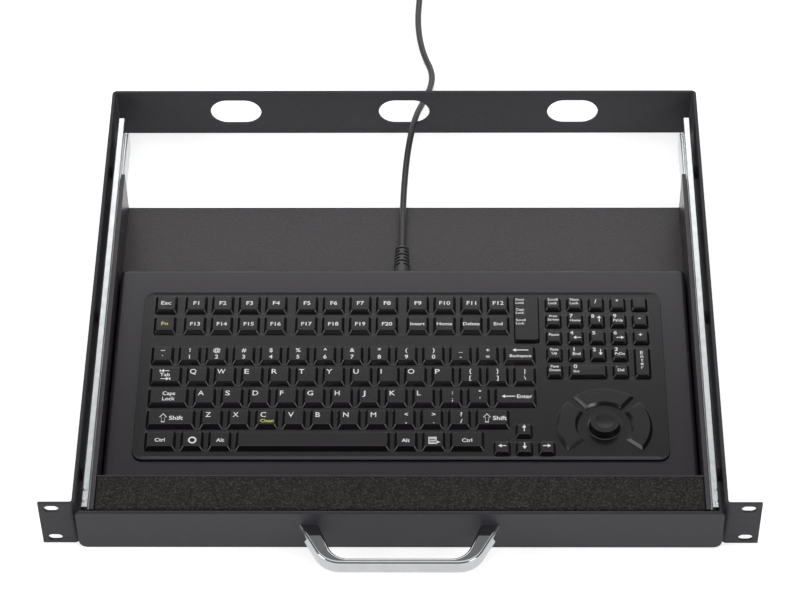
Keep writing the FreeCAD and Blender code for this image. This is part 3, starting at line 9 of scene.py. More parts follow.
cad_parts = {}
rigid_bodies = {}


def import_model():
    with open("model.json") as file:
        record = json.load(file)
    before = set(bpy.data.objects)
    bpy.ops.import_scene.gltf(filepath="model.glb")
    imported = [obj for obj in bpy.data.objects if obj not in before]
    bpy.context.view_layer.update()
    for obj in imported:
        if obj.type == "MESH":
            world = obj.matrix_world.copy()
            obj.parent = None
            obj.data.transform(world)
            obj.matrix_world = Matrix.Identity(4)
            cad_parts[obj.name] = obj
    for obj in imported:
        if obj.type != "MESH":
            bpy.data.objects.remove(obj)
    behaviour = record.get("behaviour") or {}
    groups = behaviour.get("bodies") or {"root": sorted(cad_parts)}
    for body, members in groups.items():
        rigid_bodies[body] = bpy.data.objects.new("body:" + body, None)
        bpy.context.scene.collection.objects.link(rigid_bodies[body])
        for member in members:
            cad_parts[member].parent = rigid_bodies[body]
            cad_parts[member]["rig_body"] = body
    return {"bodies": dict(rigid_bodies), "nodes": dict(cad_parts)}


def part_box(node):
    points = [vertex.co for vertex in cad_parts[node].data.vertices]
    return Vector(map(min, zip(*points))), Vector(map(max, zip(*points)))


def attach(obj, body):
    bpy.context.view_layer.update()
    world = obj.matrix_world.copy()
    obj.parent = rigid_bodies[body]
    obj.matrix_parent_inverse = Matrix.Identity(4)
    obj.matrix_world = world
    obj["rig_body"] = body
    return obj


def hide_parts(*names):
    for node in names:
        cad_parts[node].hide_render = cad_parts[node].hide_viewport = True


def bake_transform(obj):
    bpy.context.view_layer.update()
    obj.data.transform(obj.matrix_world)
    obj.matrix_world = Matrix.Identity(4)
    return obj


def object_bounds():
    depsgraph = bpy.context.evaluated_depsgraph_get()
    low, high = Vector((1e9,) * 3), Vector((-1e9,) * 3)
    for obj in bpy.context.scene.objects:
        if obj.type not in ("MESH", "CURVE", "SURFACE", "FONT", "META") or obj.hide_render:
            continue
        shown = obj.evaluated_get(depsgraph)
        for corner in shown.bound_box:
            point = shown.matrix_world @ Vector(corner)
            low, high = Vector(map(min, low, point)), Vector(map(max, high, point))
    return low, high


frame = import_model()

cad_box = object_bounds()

MM = 0.001
NODES = frame["nodes"]
KEPT = {*NODES.values(), *frame["bodies"].values()}

for start_object in list(bpy.data.objects):
    if start_object not in KEPT:
        bpy.data.objects.remove(start_object)

SLOT_OF = {name: node.data.materials[0].name for name, node in NODES.items()}
BODY_OF = {name: node["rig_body"] for name, node in NODES.items()}

MAIN_KEY_NODES = [
    "escape_and_fn_keys", "function_keys", "upper_function_keys", "number_keys",
    "upper_letter_keys", "home_row_keys", "lower_letter_keys", "modifier_keys",
    "enter_key", "backspace_key", "left_shift_key", "right_shift_key", "tab_key",
    "caps_lock_key", "space_bar",
]
SMALL_KEY_NODES = ["keypad_keys", "arrow_keys", "keypad_zero_key", "keypad_enter_key"]
RING_NODES = ["pointer_left_button", "pointer_middle_button", "pointer_right_button"]


# Camera

CAMERA_PLACE = Vector((0.02648, -1.16230, 1.58952))
CAMERA_FORWARD = Vector((-0.013398, 0.649087, -0.760596))
CAMERA_RIGHT = Vector((0.999910, 0.008557, -0.010312))
CAMERA_LENS = 131.73
CAMERA_SENSOR = 36.0
CAMERA_NEAR = 0.05
CAMERA_FAR = 20.0


def link_object(name, data):
    made = bpy.data.objects.new(name, data)
    bpy.context.scene.collection.objects.link(made)
    return made


def add_camera():
    data = bpy.data.cameras.new("camera")
    data.lens = CAMERA_LENS
    data.sensor_width = CAMERA_SENSOR
    data.sensor_fit = "HORIZONTAL"
    data.clip_start = CAMERA_NEAR
    data.clip_end = CAMERA_FAR
    camera = link_object("camera", data)
    up = CAMERA_RIGHT.cross(CAMERA_FORWARD)
    turn = Matrix((CAMERA_RIGHT, up, -CAMERA_FORWARD)).transposed().to_4x4()
    camera.matrix_world = Matrix.Translation(CAMERA_PLACE) @ turn
    bpy.context.scene.camera = camera


# Materials

DARK_UP_TO = 0.3
LIGHT_FROM = 0.7
PATCH_DETAIL = 3.0
FOAM_DETAIL = 4.0
FOAM_PATCH = 800
FOAM_PORES = 900
FOAM_PORE_DEPTH = 0.4 * MM
FOAM_TONES = [
    (0.36, (0.004, 0.0037, 0.0035)),
    (0.50, (0.015, 0.0135, 0.0125)),
    (0.64, (0.043, 0.039, 0.036)),
    (0.80, (0.105, 0.095, 0.088)),
]

# Two colours, the scale of their change, and the scale and depth of the grain
SURFACES = {
    # The tray's paint: its base colour is kept darker than the frame's copy below, as painted shade
    # for the tray's inner walls
    "chassis_paint": {
        "dark": (0.0165, 0.0122, 0.0152), "light": (0.0285, 0.0222, 0.0268), "patch": 700,
        "roughness": 0.3, "grain": (1400, 0.22 * MM),
    },
    # A lighter copy of the same chassis paint for the frame; the darker tray finish above carries
    # painted shade
    "chassis_paint_unshaded": {
        "dark": (0.033, 0.031, 0.037), "light": (0.045, 0.042, 0.050), "patch": 700,
        "roughness": 0.6, "gloss": 0.31, "grain": (1400, 0.22 * MM),
    },
    "panel_paint": {
        "dark": (0.032, 0.0295, 0.037), "light": (0.038, 0.0355, 0.043), "patch": 250,
        "roughness": 0.45, "gloss": 0.3, "grain": (2600, 0.01 * MM),
    },
    "zinc": {
        "dark": (0.60, 0.625, 0.64), "light": (0.74, 0.755, 0.76), "patch": 180,
        "roughness": 0.3, "metallic": 1.0, "grain": (900, 0.006 * MM),
    },
    "steel": {
        "dark": (0.50, 0.51, 0.52), "light": (0.60, 0.61, 0.62), "patch": 400,
        "roughness": 0.3, "metallic": 1.0,
    },
    "chrome": {
        "dark": (0.455, 0.46, 0.47), "light": (0.50, 0.505, 0.515), "patch": 120,
        "roughness": 0.06, "metallic": 1.0,
    },
    "housing": {
        "dark": (0.0205, 0.017, 0.0225), "light": (0.0265, 0.022, 0.029), "patch": 700,
        "roughness": 0.2, "grain": (2200, 0.03 * MM),
    },
    "mat": {
        "dark": (0.0055, 0.0045, 0.006), "light": (0.008, 0.0067, 0.0085), "patch": 500,
        "roughness": 0.2, "grain": (2600, 0.02 * MM),
    },
    "keys": {
        "dark": (0.0065, 0.0048, 0.0065), "light": (0.0095, 0.0068, 0.0095), "patch": 500,
        "roughness": 0.22, "grain": (3000, 0.02 * MM),
    },
    "buttons": {
        "dark": (0.0065, 0.0055, 0.0065), "light": (0.0095, 0.008, 0.0095), "patch": 500,
        "roughness": 0.4, "gloss": 0.3, "grain": (3000, 0.02 * MM),
    },
    "circuit": {
        "dark": (0.006, 0.014, 0.009), "light": (0.008, 0.018, 0.011), "patch": 300, "roughness": 0.4,
    },
    "lamps": {
        "dark": (0.35, 0.42, 0.36), "light": (0.42, 0.50, 0.44), "patch": 800, "roughness": 0.2,
    },
    "cable": {
        "dark": (0.030, 0.030, 0.030), "light": (0.042, 0.041, 0.041), "patch": 500,
        "roughness": 0.4, "grain": (1800, 0.02 * MM),
    },
    "tie": {
        "dark": (0.015, 0.015, 0.015), "light": (0.022, 0.022, 0.022), "patch": 500, "roughness": 0.4,
    },
    "plug": {
        "dark": (0.014, 0.014, 0.015), "light": (0.019, 0.019, 0.020), "patch": 500,
        "roughness": 0.42, "grain": (2400, 0.03 * MM),
    },
    "white_ink": {
        "dark": (0.88, 0.89, 0.90), "light": (0.94, 0.95, 0.95), "patch": 900, "roughness": 0.5,
    },
    "yellow_ink": {
        "dark": (0.62, 0.64, 0.10), "light": (0.70, 0.72, 0.14), "patch": 900, "roughness": 0.5,
    },
}
# Nodes that don't look as their slot does; the frame and its screws take a lighter copy of the chassis
# paint, whose own finish is darkened as painted shade for the tray's walls
OWN_LOOKS = {
    "pointer_button": "buttons",
    "chassis_frame": "chassis_paint_unshaded",
    "slide_frame_screws": "chassis_paint_unshaded",
}


def set_stops(ramp, stops):
    """Gives a colour ramp its (position, colour) stops, in rising order."""
    elements = ramp.color_ramp.elements
    while len(elements) > 1:
        elements.remove(elements[-1])
    elements[0].position = stops[0][0]
    elements[0].color = (*stops[0][1], 1.0)
    for position, colour in stops[1:]:
        elements.new(position).color = (*colour, 1.0)


class Finish:
    """A material with a principled shader and patterns in the object's own coordinates."""

    def __init__(self, name, roughness, metallic=0.0, gloss=0.5):
        self.material = bpy.data.materials.new(name + "_finish")
        self.material.use_nodes = True
        self.tree = self.material.node_tree
        self.shader = self.tree.nodes["Principled BSDF"]
        self.shader.inputs["Roughness"].default_value = roughness
        self.shader.inputs["Metallic"].default_value = metallic
        self.shader.inputs["Specular IOR Level"].default_value = gloss
        self.place = self.tree.nodes.new("ShaderNodeTexCoord").outputs["Object"]

    def link(self, start, end):
        self.tree.links.new(start, end)

    def noise(self, scale, detail=2.0):
        pattern = self.tree.nodes.new("ShaderNodeTexNoise")
        pattern.inputs["Scale"].default_value = scale
        pattern.inputs["Detail"].default_value = detail
        self.link(self.place, pattern.inputs["Vector"])
        return pattern.outputs["Fac"]

    def tones(self, pattern, stops):
        """The base colour follows the pattern through (position, colour) stops."""
        ramp = self.tree.nodes.new("ShaderNodeValToRGB")
        set_stops(ramp, stops)
        self.link(pattern, ramp.inputs["Fac"])
        self.link(ramp.outputs["Color"], self.shader.inputs["Base Color"])

    def relief(self, pattern, depth):
        bump = self.tree.nodes.new("ShaderNodeBump")
        bump.inputs["Distance"].default_value = depth
        self.link(pattern, bump.inputs["Height"])
        self.link(bump.outputs["Normal"], self.shader.inputs["Normal"])


def two_tone(name, dark, light, patch, roughness, grain=None, metallic=0.0, gloss=0.5):
    finish = Finish(name, roughness, metallic, gloss)
    finish.tones(finish.noise(patch, PATCH_DETAIL), [(DARK_UP_TO, dark), (LIGHT_FROM, light)])
    if grain:
        scale, depth = grain
        finish.relief(finish.noise(scale), depth)
    return finish.material


def foam_finish():
    foam = Finish("foam", roughness=0.95)
    foam.tones(foam.noise(FOAM_PATCH, FOAM_DETAIL), FOAM_TONES)
    foam.relief(foam.noise(FOAM_PORES, FOAM_DETAIL), FOAM_PORE_DEPTH)
    return foam.material


LOOKS = {name: two_tone(name, **surface) for name, surface in SURFACES.items()}
LOOKS["foam"] = foam_finish()

for node_name, node in NODES.items():
    node.data.materials[0] = LOOKS[OWN_LOOKS.get(node_name, SLOT_OF[node_name])]


# Meshes

WELD = 1e-6
ROW_DEPTH = 8 * MM


def made_mesh(name, vertices, faces, material):
    mesh = bpy.data.meshes.new(name)
    mesh.from_pydata(vertices, [], faces)
    mesh.materials.append(material)
    return mesh


def welded(mesh):
    """The mesh for editing, its doubled points joined."""
    shape = bmesh.new()
    shape.from_mesh(mesh)
    bmesh.ops.remove_doubles(shape, verts=shape.verts, dist=WELD)
    return shape


def store(shape, mesh):
    shape.to_mesh(mesh)
    shape.free()


def shade(mesh, angle):
    """Smooth over edges up to that angle, in degrees."""
    for face in mesh.polygons:
        face.use_smooth = True
    mesh.set_sharp_from_angle(angle=math.radians(angle))


def even_out(piece):
    """Keeps flat faces flat beside rounded edges."""
    normals = piece.modifiers.new("even_normals", "WEIGHTED_NORMAL")
    normals.keep_sharp = True


def place_piece(piece, body, stands_for=()):
    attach(piece, body)
    if stands_for:
        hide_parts(*stands_for)
    return piece


def reading_order(points):
    """Sorts solids by rows from the rear, and from the left within a row."""
    middle = (min(p.y for p in points) + max(p.y for p in points)) / 2
    return -round(middle / ROW_DEPTH), min(p.x for p in points)


def solids(node):
    """Points of the separate solids of a node, in reading order."""
    shape = welded(NODES[node].data)
    unseen = set(shape.verts)
    groups = []
    while unseen:
        found = set()
        waiting = [unseen.pop()]
        while waiting:
            vertex = waiting.pop()
            found.add(vertex)
            for edge in vertex.link_edges:
                other = edge.other_vert(vertex)
                if other in unseen:
                    unseen.discard(other)
                    waiting.append(other)
        groups.append([vertex.co.copy() for vertex in found])
    shape.free()
    return sorted(groups, key=reading_order)


def corners(points):
    """Lowest and highest corner of the box about some points."""
    return [Vector([choose(p[axis] for p in points) for axis in range(3)]) for choose in (min, max)]


# Cable

CORD_DIAMETER = 4.8 * MM
CORD_STEPS = 8
CORD_ROUNDNESS = 4
CORD_SMOOTH = 60.0
# In millimetres, as in the part's source
CABLE_ROUTE = [
    (-0.65, 253.4, -11.5),
    (-0.55, 284.504, -13.0),
    (0.35, 318.2, -12.4),
    (2.75, 353.192, -11.5),
    (7.95, 383.0, -6.9),
    (14.95, 406.0, -12.5),
    (20.25, 426.0, -17.63),
    (21.35, 443.0, -19.43),
    (14.85, 461.0, -19.43),
    (10.95, 481.0, -19.43),
    (9.55, 504.0, -19.43),
    (11.35, 530.0, -19.43),
    (10.5, 571.0, -19.43),
]
TAIL_ROUTE = [(-31.9, 612.0, -7.33), (-41.4, 604.5, -2.23), (-44.9, 592.4, -0.73)]
COIL_CENTRE = (-17.2, 589.0, -12.83)
COIL_RADIUS = 27.7
COIL_POINTS = 24
COIL_TURNS = 8 + 1 / 3
# The last part of each turn leads over to the next turn's place in the bundle
COIL_LEAD = 0.3
# Where each turn lies about the middle of the bundle, None being the middle itself
STRAND_RING = 5.55
STRAND_ANGLES = [-90.0, -141.4, 167.1, None, -38.6, 12.9, 64.3, 115.7, 115.7]


def strand_place(turn):
    """Offset outwards and upwards of a turn in the bundle."""
    angle = STRAND_ANGLES[turn]
    if angle is None:
        return Vector((0.0, 0.0))
    return STRAND_RING * Vector((math.cos(math.radians(angle)), math.sin(math.radians(angle))))


def coil_points():
    points = []
    for step in range(int(COIL_TURNS * COIL_POINTS)):
        turn, share = divmod(step / COIL_POINTS, 1.0)
        turn = int(turn)
        following = min(turn + 1, len(STRAND_ANGLES) - 1)
        lead = max(0.0, (share - (1 - COIL_LEAD)) / COIL_LEAD)
        lead = lead * lead * (3 - 2 * lead)
        offset = strand_place(turn).lerp(strand_place(following), lead)
        angle = 2 * math.pi * share
        radius = COIL_RADIUS + offset[0]
        points.append((
            COIL_CENTRE[0] + radius * math.cos(angle),
            COIL_CENTRE[1] + radius * math.sin(angle),
            COIL_CENTRE[2] + offset[1],
        ))
    return points


def cord_line():
    """The cord's centre line as a curve object."""
    data = bpy.data.curves.new("cord_line", "CURVE")
    data.dimensions = "3D"
    data.resolution_u = CORD_STEPS
    route = [*CABLE_ROUTE, *coil_points(), *TAIL_ROUTE]
    spline = data.splines.new("NURBS")
    spline.points.add(len(route) - 1)
    for point, place in zip(spline.points, route):
        point.co = (*(Vector(place) * MM), 1.0)
    spline.order_u = 3
    spline.use_endpoint_u = True
    return link_object("cord_line", data)


def add_cord():
    """The cord as a tube, between its exit and the cut-out."""
    line = cord_line()
    centre_line = bpy.data.meshes.new_from_object(line)
    line.data.bevel_depth = CORD_DIAMETER / 2
    line.data.bevel_resolution = CORD_ROUNDNESS
    line.data.use_fill_caps = True
    tube = bpy.data.meshes.new_from_object(line)
    tube.name = "keyboard_cord"
    store(welded(tube), tube)
    bpy.data.objects.remove(line)
    bpy.data.meshes.remove(centre_line)
    shade(tube, CORD_SMOOTH)
    tube.materials.clear()
    tube.materials.append(LOOKS["cable"])
    cord = link_object("keyboard_cord", tube)
    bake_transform(cord)
    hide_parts("cable_run", "cable_coil", "cable_tail")


# Rounded keys and buttons

KEY_CORNER = 1.3
MAIN_KEY_EDGE = 0.45
SMALL_KEY_EDGE = 0.9
RING_CORNER = 0.5
RING_EDGE = 0.5
CORNER_SEGMENTS = 4
EDGE_SEGMENTS = 3
ROUND_PROFILE = 0.5
FLAT_ANGLE = 0.5
SHARP_ANGLE = 25.0
KEY_SMOOTH = 40.0
# An edge is upright if it rises by more than this share of its length
UPRIGHT_RISE = 0.5


def is_upright(edge):
    start, end = edge.verts
    run = end.co - start.co
    return abs(run.z) > UPRIGHT_RISE * run.length


def round_edges(shape, upright, width, segments):
    """Rounds the sharp edges that stand upright, or else those that don't."""
    sharp = [
        edge for edge in shape.edges
        if len(edge.link_faces) == 2
        and edge.calc_face_angle() > math.radians(SHARP_ANGLE)
        and is_upright(edge) == upright
    ]
    bmesh.ops.bevel(
        shape, geom=sharp, offset=width, offset_type="OFFSET", segments=segments,
        profile=ROUND_PROFILE, affect="EDGES", clamp_overlap=True,
    )


def add_rounded(node, edge, corner):
    """A copy of a CAD node, its upright corners and other sharp edges rounded, in its place."""
    shape = welded(NODES[node].data)
    bmesh.ops.dissolve_limit(
        shape, angle_limit=math.radians(FLAT_ANGLE), verts=shape.verts, edges=shape.edges
    )
    round_edges(shape, True, corner * MM, CORNER_SEGMENTS)
    round_edges(shape, False, edge * MM, EDGE_SEGMENTS)
    mesh = bpy.data.meshes.new(node + "_rounded")
    store(shape, mesh)
    shade(mesh, KEY_SMOOTH)
    mesh.materials.append(LOOKS[SLOT_OF[node]])
    piece = link_object(node + "_rounded", mesh)
    even_out(piece)
    place_piece(piece, BODY_OF[node], [node])


def add_keys():
    for node in MAIN_KEY_NODES:
        add_rounded(node, MAIN_KEY_EDGE, KEY_CORNER)
    for node in SMALL_KEY_NODES:
        add_rounded(node, SMALL_KEY_EDGE, KEY_CORNER)
    for node in RING_NODES:
        add_rounded(node, RING_EDGE, RING_CORNER)


# Moulded key bed

MAT_LOW, MAT_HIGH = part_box("key_mat")
MAT_LEVEL = MAT_HIGH.z

# The bed's lengths are in millimetres, and its heights are over the mat
BED_INSET = 4.0
BED_LOW = [round(MAT_LOW[axis] / MM, 3) + BED_INSET for axis in (0, 1)]
BED_HIGH = [round(MAT_HIGH[axis] / MM, 3) - BED_INSET for axis in (0, 1)]
BED_CORNER = 7.0
BED_LEVEL = 0.78
BED_BOTTOM = -0.3
BED_SMOOTH = 45.0
# Profiles of the bed's borders, in rows of distance and height
BED_RIM = [(2.7, BED_LEVEL), (0.5, 0.91), (0.2, 0.88), (0.05, 0.78), (0.05, BED_BOTTOM)]
RING_FLARE = [(0.5, BED_LEVEL), (0.25, 0.79), (0.08, 0.83), (0.08, BED_BOTTOM)]
COLLAR = [(0.5, BED_LEVEL), (0.15, 0.74), (0.0, 0.6), (0.0, BED_BOTTOM)]
# Distance and height beside a key, then before it, where the bed dips and bares the key's front
FLARE = [
    (0.75, BED_LEVEL, 1.0, BED_LEVEL),
    (0.6, 0.785, 0.9, 0.7),
    (0.4, 0.8, 0.82, 0.15),
    (0.2, 0.82, 0.6, 0.08),
    (0.08, 0.85, 0.08, 0.08),
    (0.08, BED_BOTTOM, 0.08, BED_BOTTOM),
]
FLARE_AHEAD = FLARE[0][2]
FLARE_GAP = FLARE[-1][0]
FLARE_BEHIND = 0.2
# Bed that stays level between a key's dip and what lies before it
LEAST_BRIDGE = 0.4
# Points this close under a key's top belong to its crown
CROWN_DEPTH = 0.01
CORNER_STEPS = 6
COLLAR_RADIUS = 12.2
COLLAR_STEPS = 72
RING_SWEEP = 80.0
RING_TURNS = (180.0, 90.0, 0.0)
# Longest side of an outline that is bent round
RING_SPAN = 1.0


def rounded_box(low, high, corner, rear=None, front=None):
    """Outline of a rectangle with round corners, anticlockwise from its right side.

    The corners behind and before it reach that far along its depth, if rear and front are given.
    """
    rear = corner if rear is None else rear
    front = corner if front is None else front
    middles = [
        (high[0] - corner, high[1] - rear, rear),
        (low[0] + corner, high[1] - rear, rear),
        (low[0] + corner, low[1] + front, front),
        (high[0] - corner, low[1] + front, front),
    ]
    points = []
    for quarter, (x, y, deep) in enumerate(middles):
        for step in range(CORNER_STEPS + 1):
            angle = math.radians(90.0 * (quarter + step / CORNER_STEPS))
            points.append((x + corner * math.cos(angle), y + deep * math.sin(angle)))
    return points


def divided(points, longest):
    """The outline with points added on its longer sides."""
    result = []
    for start, end in zip(points, [*points[1:], points[0]]):
        count = max(1, math.ceil(math.dist(start, end) / longest))
        for step in range(count):
            share = step / count
            result.append((
                start[0] + (end[0] - start[0]) * share,
                start[1] + (end[1] - start[1]) * share,
            ))
    return result


def at_height(points, height):
    return [(x, y, height) for x, y in points]


def bed_edge(inset, height):
    low = [value + inset for value in BED_LOW]
    high = [value - inset for value in BED_HIGH]
    return at_height(rounded_box(low, high, BED_CORNER - inset), height)


def key_side(points, axis, choose, height):
    """Place of a key's sloping side, that high over the mat."""
    top = max(point.z for point in points)
    crown = [point for point in points if point.z > top - CROWN_DEPTH * MM]
    share = max(0.0, height * MM) / (top - MAT_LEVEL)
    wide = choose(point[axis] for point in points) / MM
    narrow = choose(point[axis] for point in crown) / MM
    return wide + (narrow - wide) * share


def key_edge(points, room):
    """Outlines about a key for the rows of FLARE, drawn in where there is less room before it."""
    scale = min(1.0, (room - LEAST_BRIDGE) / FLARE_AHEAD)

    def outline(distance, height, ahead, ahead_height):
        ahead = max(FLARE_GAP, ahead * scale)
        behind = min(distance, FLARE_BEHIND)
        front = KEY_CORNER + ahead
        low = (
            key_side(points, 0, min, height) - distance,
            key_side(points, 1, min, ahead_height) - ahead,
        )
        high = (
            key_side(points, 0, max, height) + distance,
            key_side(points, 1, max, height) + behind,
        )
        edge = []
        for x, y in rounded_box(low, high, KEY_CORNER + distance, KEY_CORNER + behind, front):
            share = min(1.0, max(0.0, (low[1] + front - y) / front))
            edge.append((x, y, height + (ahead_height - height) * share))
        return edge
    return outline


def footprint(points):
    """Left, right, front and rear of a key where it leaves the bed."""
    return [
        key_side(points, axis, choose, BED_LEVEL)
        for axis in (0, 1)
        for choose in (min, max)
    ]


def room_before(foot, others):
    """Clear depth before a footprint, up to the nearest of the others."""
    left, right, front, _ = foot
    stops = [BED_LOW[1] + BED_RIM[0][0]]
    for other_left, other_right, _, other_rear in others:
        if other_left < right and other_right > left and other_rear <= front:
            stops.append(other_rear)
    return front - max(stops)


def ring_edge(middle, inner, outer, turn):
    """Outlines about a ring button, laid out along its middle line and bent round."""
    radius = (inner + outer) / 2
    half = math.radians(RING_SWEEP / 2) * radius

    def outline(distance, height):
        low = (-half - distance, inner - distance)
        high = (half + distance, outer + distance)
        bent = []
        for along, reach in divided(rounded_box(low, high, RING_CORNER + distance), RING_SPAN):
            angle = math.radians(turn) - along / radius
            bent.append((middle[0] + reach * math.cos(angle), middle[1] + reach * math.sin(angle)))
        return at_height(bent, height)
    return outline


def collar_edge(middle):
    """Outlines about the pointing button."""
    def outline(distance, height):
        reach = COLLAR_RADIUS + distance
        circle = []
        for step in range(COLLAR_STEPS):
            angle = 2 * math.pi * step / COLLAR_STEPS
            circle.append((middle[0] + reach * math.cos(angle), middle[1] + reach * math.sin(angle)))
        return at_height(circle, height)
    return outline


def button_middle():
    low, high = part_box("pointer_button")
    return (low + high) / 2


def bed_borders():
    """Each border of the bed: its outline and its profile, the outer one first."""
    standing = (*MAIN_KEY_NODES, *SMALL_KEY_NODES, "indicator_block")
    keys = [points for node in standing for points in solids(node)]
    feet = [footprint(points) for points in keys]
    rings = []
    for node in RING_NODES:
        low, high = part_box(node)
        rings.append([low.x / MM, high.x / MM, low.y / MM, high.y / MM])
    borders = [(bed_edge, BED_RIM)]
    for points, foot in zip(keys, feet):
        room = room_before(foot, [*feet, *rings])
        borders.append((key_edge(points, room), FLARE))
    middle = button_middle() / MM
    low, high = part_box("pointer_left_button")
    outer = middle.x - low.x / MM
    inner = (middle.x - high.x / MM) / math.cos(math.radians(RING_SWEEP / 2))
    borders += [(ring_edge(middle, inner, outer, turn), RING_FLARE) for turn in RING_TURNS]
    borders.append((collar_edge(middle), COLLAR))
    return borders


def add_bed():
    """The mat's upper side: one moulding with an upturned rim, flared and dipped about each key."""
    vertices, faces = [], []
    upper, lower = [], []
    for outline, profile in bed_borders():
        loops = []
        for row in profile:
            points = [Vector((x * MM, y * MM, MAT_LEVEL + z * MM)) for x, y, z in outline(*row)]
            loops.append(list(range(len(vertices), len(vertices) + len(points))))
            vertices += points
        for loop, after in zip(loops, loops[1:]):
            for place in range(len(loop)):
                faces.append((loop[place - 1], loop[place], after[place], after[place - 1]))
        upper.append(loops[0])
        lower.append(loops[-1])
    for side in (upper, lower):
        flat = [index for loop in side for index in loop]
        for triangle in tessellate_polygon([[vertices[index] for index in loop] for loop in side]):
            faces.append(tuple(flat[index] for index in triangle))
    mesh = made_mesh("key_bed", vertices, faces, LOOKS[SLOT_OF["key_mat"]])
    shape = bmesh.new()
    shape.from_mesh(mesh)
    bmesh.ops.recalc_face_normals(shape, faces=shape.faces)
    store(shape, mesh)
    shade(mesh, BED_SMOOTH)
    bed = link_object("key_bed", mesh)
    even_out(bed)
    place_piece(bed, BODY_OF["key_mat"])


# Shield about the pointing button

# Radius and height over the mat, in millimetres
BOOT = [
    (10.6, 1.0),
    (10.95, 1.12),
    (11.15, 1.05),
    (11.4, 0.87),
    (11.8, 0.845),
    (13.9, 0.84),
    (13.9, 0.8),
    (10.6, 0.8),
]
BOOT_STEPS = 72
BOOT_SMOOTH = 50.0


def add_boot():
    """A thin shield that closes the gap about the pointing button and slides with it."""
    middle = button_middle()
    vertices, faces = [], []
    for step in range(BOOT_STEPS):
        angle = 2 * math.pi * step / BOOT_STEPS
        for reach, height in BOOT:
            x = middle.x + reach * MM * math.cos(angle)
            y = middle.y + reach * MM * math.sin(angle)
            vertices.append((x, y, MAT_LEVEL + height * MM))
    count = len(BOOT)
    for step in range(BOOT_STEPS):
        here = step * count
        after = (step + 1) % BOOT_STEPS * count
        for place in range(count):
            following = (place + 1) % count
            faces.append((here + place, here + following, after + following, after + place))
    mesh = made_mesh("pointer_boot", vertices, faces, LOOKS[SLOT_OF["key_mat"]])
    shade(mesh, BOOT_SMOOTH)
    place_piece(link_object("pointer_boot", mesh), BODY_OF["pointer_button"])


# Legends, in millimetres about the middle of a key's top

LEFT = 0.0
CENTRE = 0.5
RIGHTWARD = 0.0
UPWARD = 90.0
LEFTWARD = 180.0
DOWNWARD = -90.0
WORD_WEIGHT = 0.014
LETTER_WEIGHT = 0.007
LETTER_STEPS = 4
# How much farther than its stroke a closed line is drawn in at its farthest corner
BAND_CORNER = 1.5
PRINT_LIFT = 0.02 * MM


class Lettering:
    """Flat printed marks about an origin, gathered into one mesh."""

    outlines = {}

    def __init__(self):
        self.vertices = []
        self.faces = []
        self.origin = Vector((0.0, 0.0, 0.0))

    @classmethod
    def outline(cls, text, weight):
        """Vertices and faces of a text that stands on 0, its strokes widened by weight."""
        if (text, weight) not in cls.outlines:
            data = bpy.data.curves.new("lettering", "FONT")
            data.body = text
            data.offset = weight
            data.resolution_u = LETTER_STEPS
            holder = link_object("lettering", data)
            mesh = bpy.data.meshes.new_from_object(
                holder.evaluated_get(bpy.context.evaluated_depsgraph_get())
            )
            bpy.data.objects.remove(holder)
            points = [vertex.co.copy() for vertex in mesh.vertices]
            faces = [tuple(face.vertices) for face in mesh.polygons]
            bpy.data.meshes.remove(mesh)
            cls.outlines[text, weight] = (points, faces)
        return cls.outlines[text, weight]

    def add(self, points, faces):
        first = len(self.vertices)
        self.vertices += [self.origin + Vector((x, y, 0.0)) * MM for x, y in points]
        self.faces += [tuple(first + index for index in face) for face in faces]

    def text(self, text, x, y, height, align=CENTRE, wide=1.0, weight=WORD_WEIGHT):
        """Text right of x or about it, by align; y is the capitals' middle."""
        points, faces = self.outline(text, weight)
        scale = height / CAPITAL
        low = min(point.x for point in points)
        high = max(point.x for point in points)
        across = low + (high - low) * align
        self.add(
            [((p.x - across) * scale * wide + x, p.y * scale + y - height / 2) for p in points],
            faces,
        )

    def arrow(self, x, y, length, turn, stroke=0.6, head=2.2, spread=3.0):
        """A slim arrow about (x, y), pointing along +X turned by turn degrees."""
        half = length / 2
        neck = half - head
        shape = [
            (-half, -stroke / 2), (neck, -stroke / 2), (neck, -spread / 2), (half, 0.0),
            (neck, spread / 2), (neck, stroke / 2), (-half, stroke / 2),
        ]
        cosine = math.cos(math.radians(turn))
        sine = math.sin(math.radians(turn))
        turned = [(x + a * cosine - b * sine, y + a * sine + b * cosine) for a, b in shape]
        self.add(turned, [(0, 1, 5, 6), (2, 3, 4)])

    def bar(self, left, low, right, high):
        self.add([(left, low), (right, low), (right, high), (left, high)], [(0, 1, 2, 3)])

    def band(self, points, stroke):
        """A closed line of that stroke, drawn inside the given corners."""
        middle = Vector((sum(p[0] for p in points), sum(p[1] for p in points))) / len(points)
        size = max((Vector(p) - middle).length for p in points)
        shrink = 1 - stroke * BAND_CORNER / size
        inner = [tuple(middle + (Vector(p) - middle) * shrink) for p in points]
        count = len(points)
        faces = []
        for here in range(count):
            after = (here + 1) % count
            faces.append((here, after, count + after, count + here))
        self.add([*points, *inner], faces)

    def finish(self, name, body, look):
        mesh = made_mesh(name, self.vertices, self.faces, LOOKS[look])
        place_piece(link_object(name, mesh), body)


CAPITAL = max(point.y for point in Lettering.outline("H", 0.0)[0])

LETTER_HEIGHT = 4.0
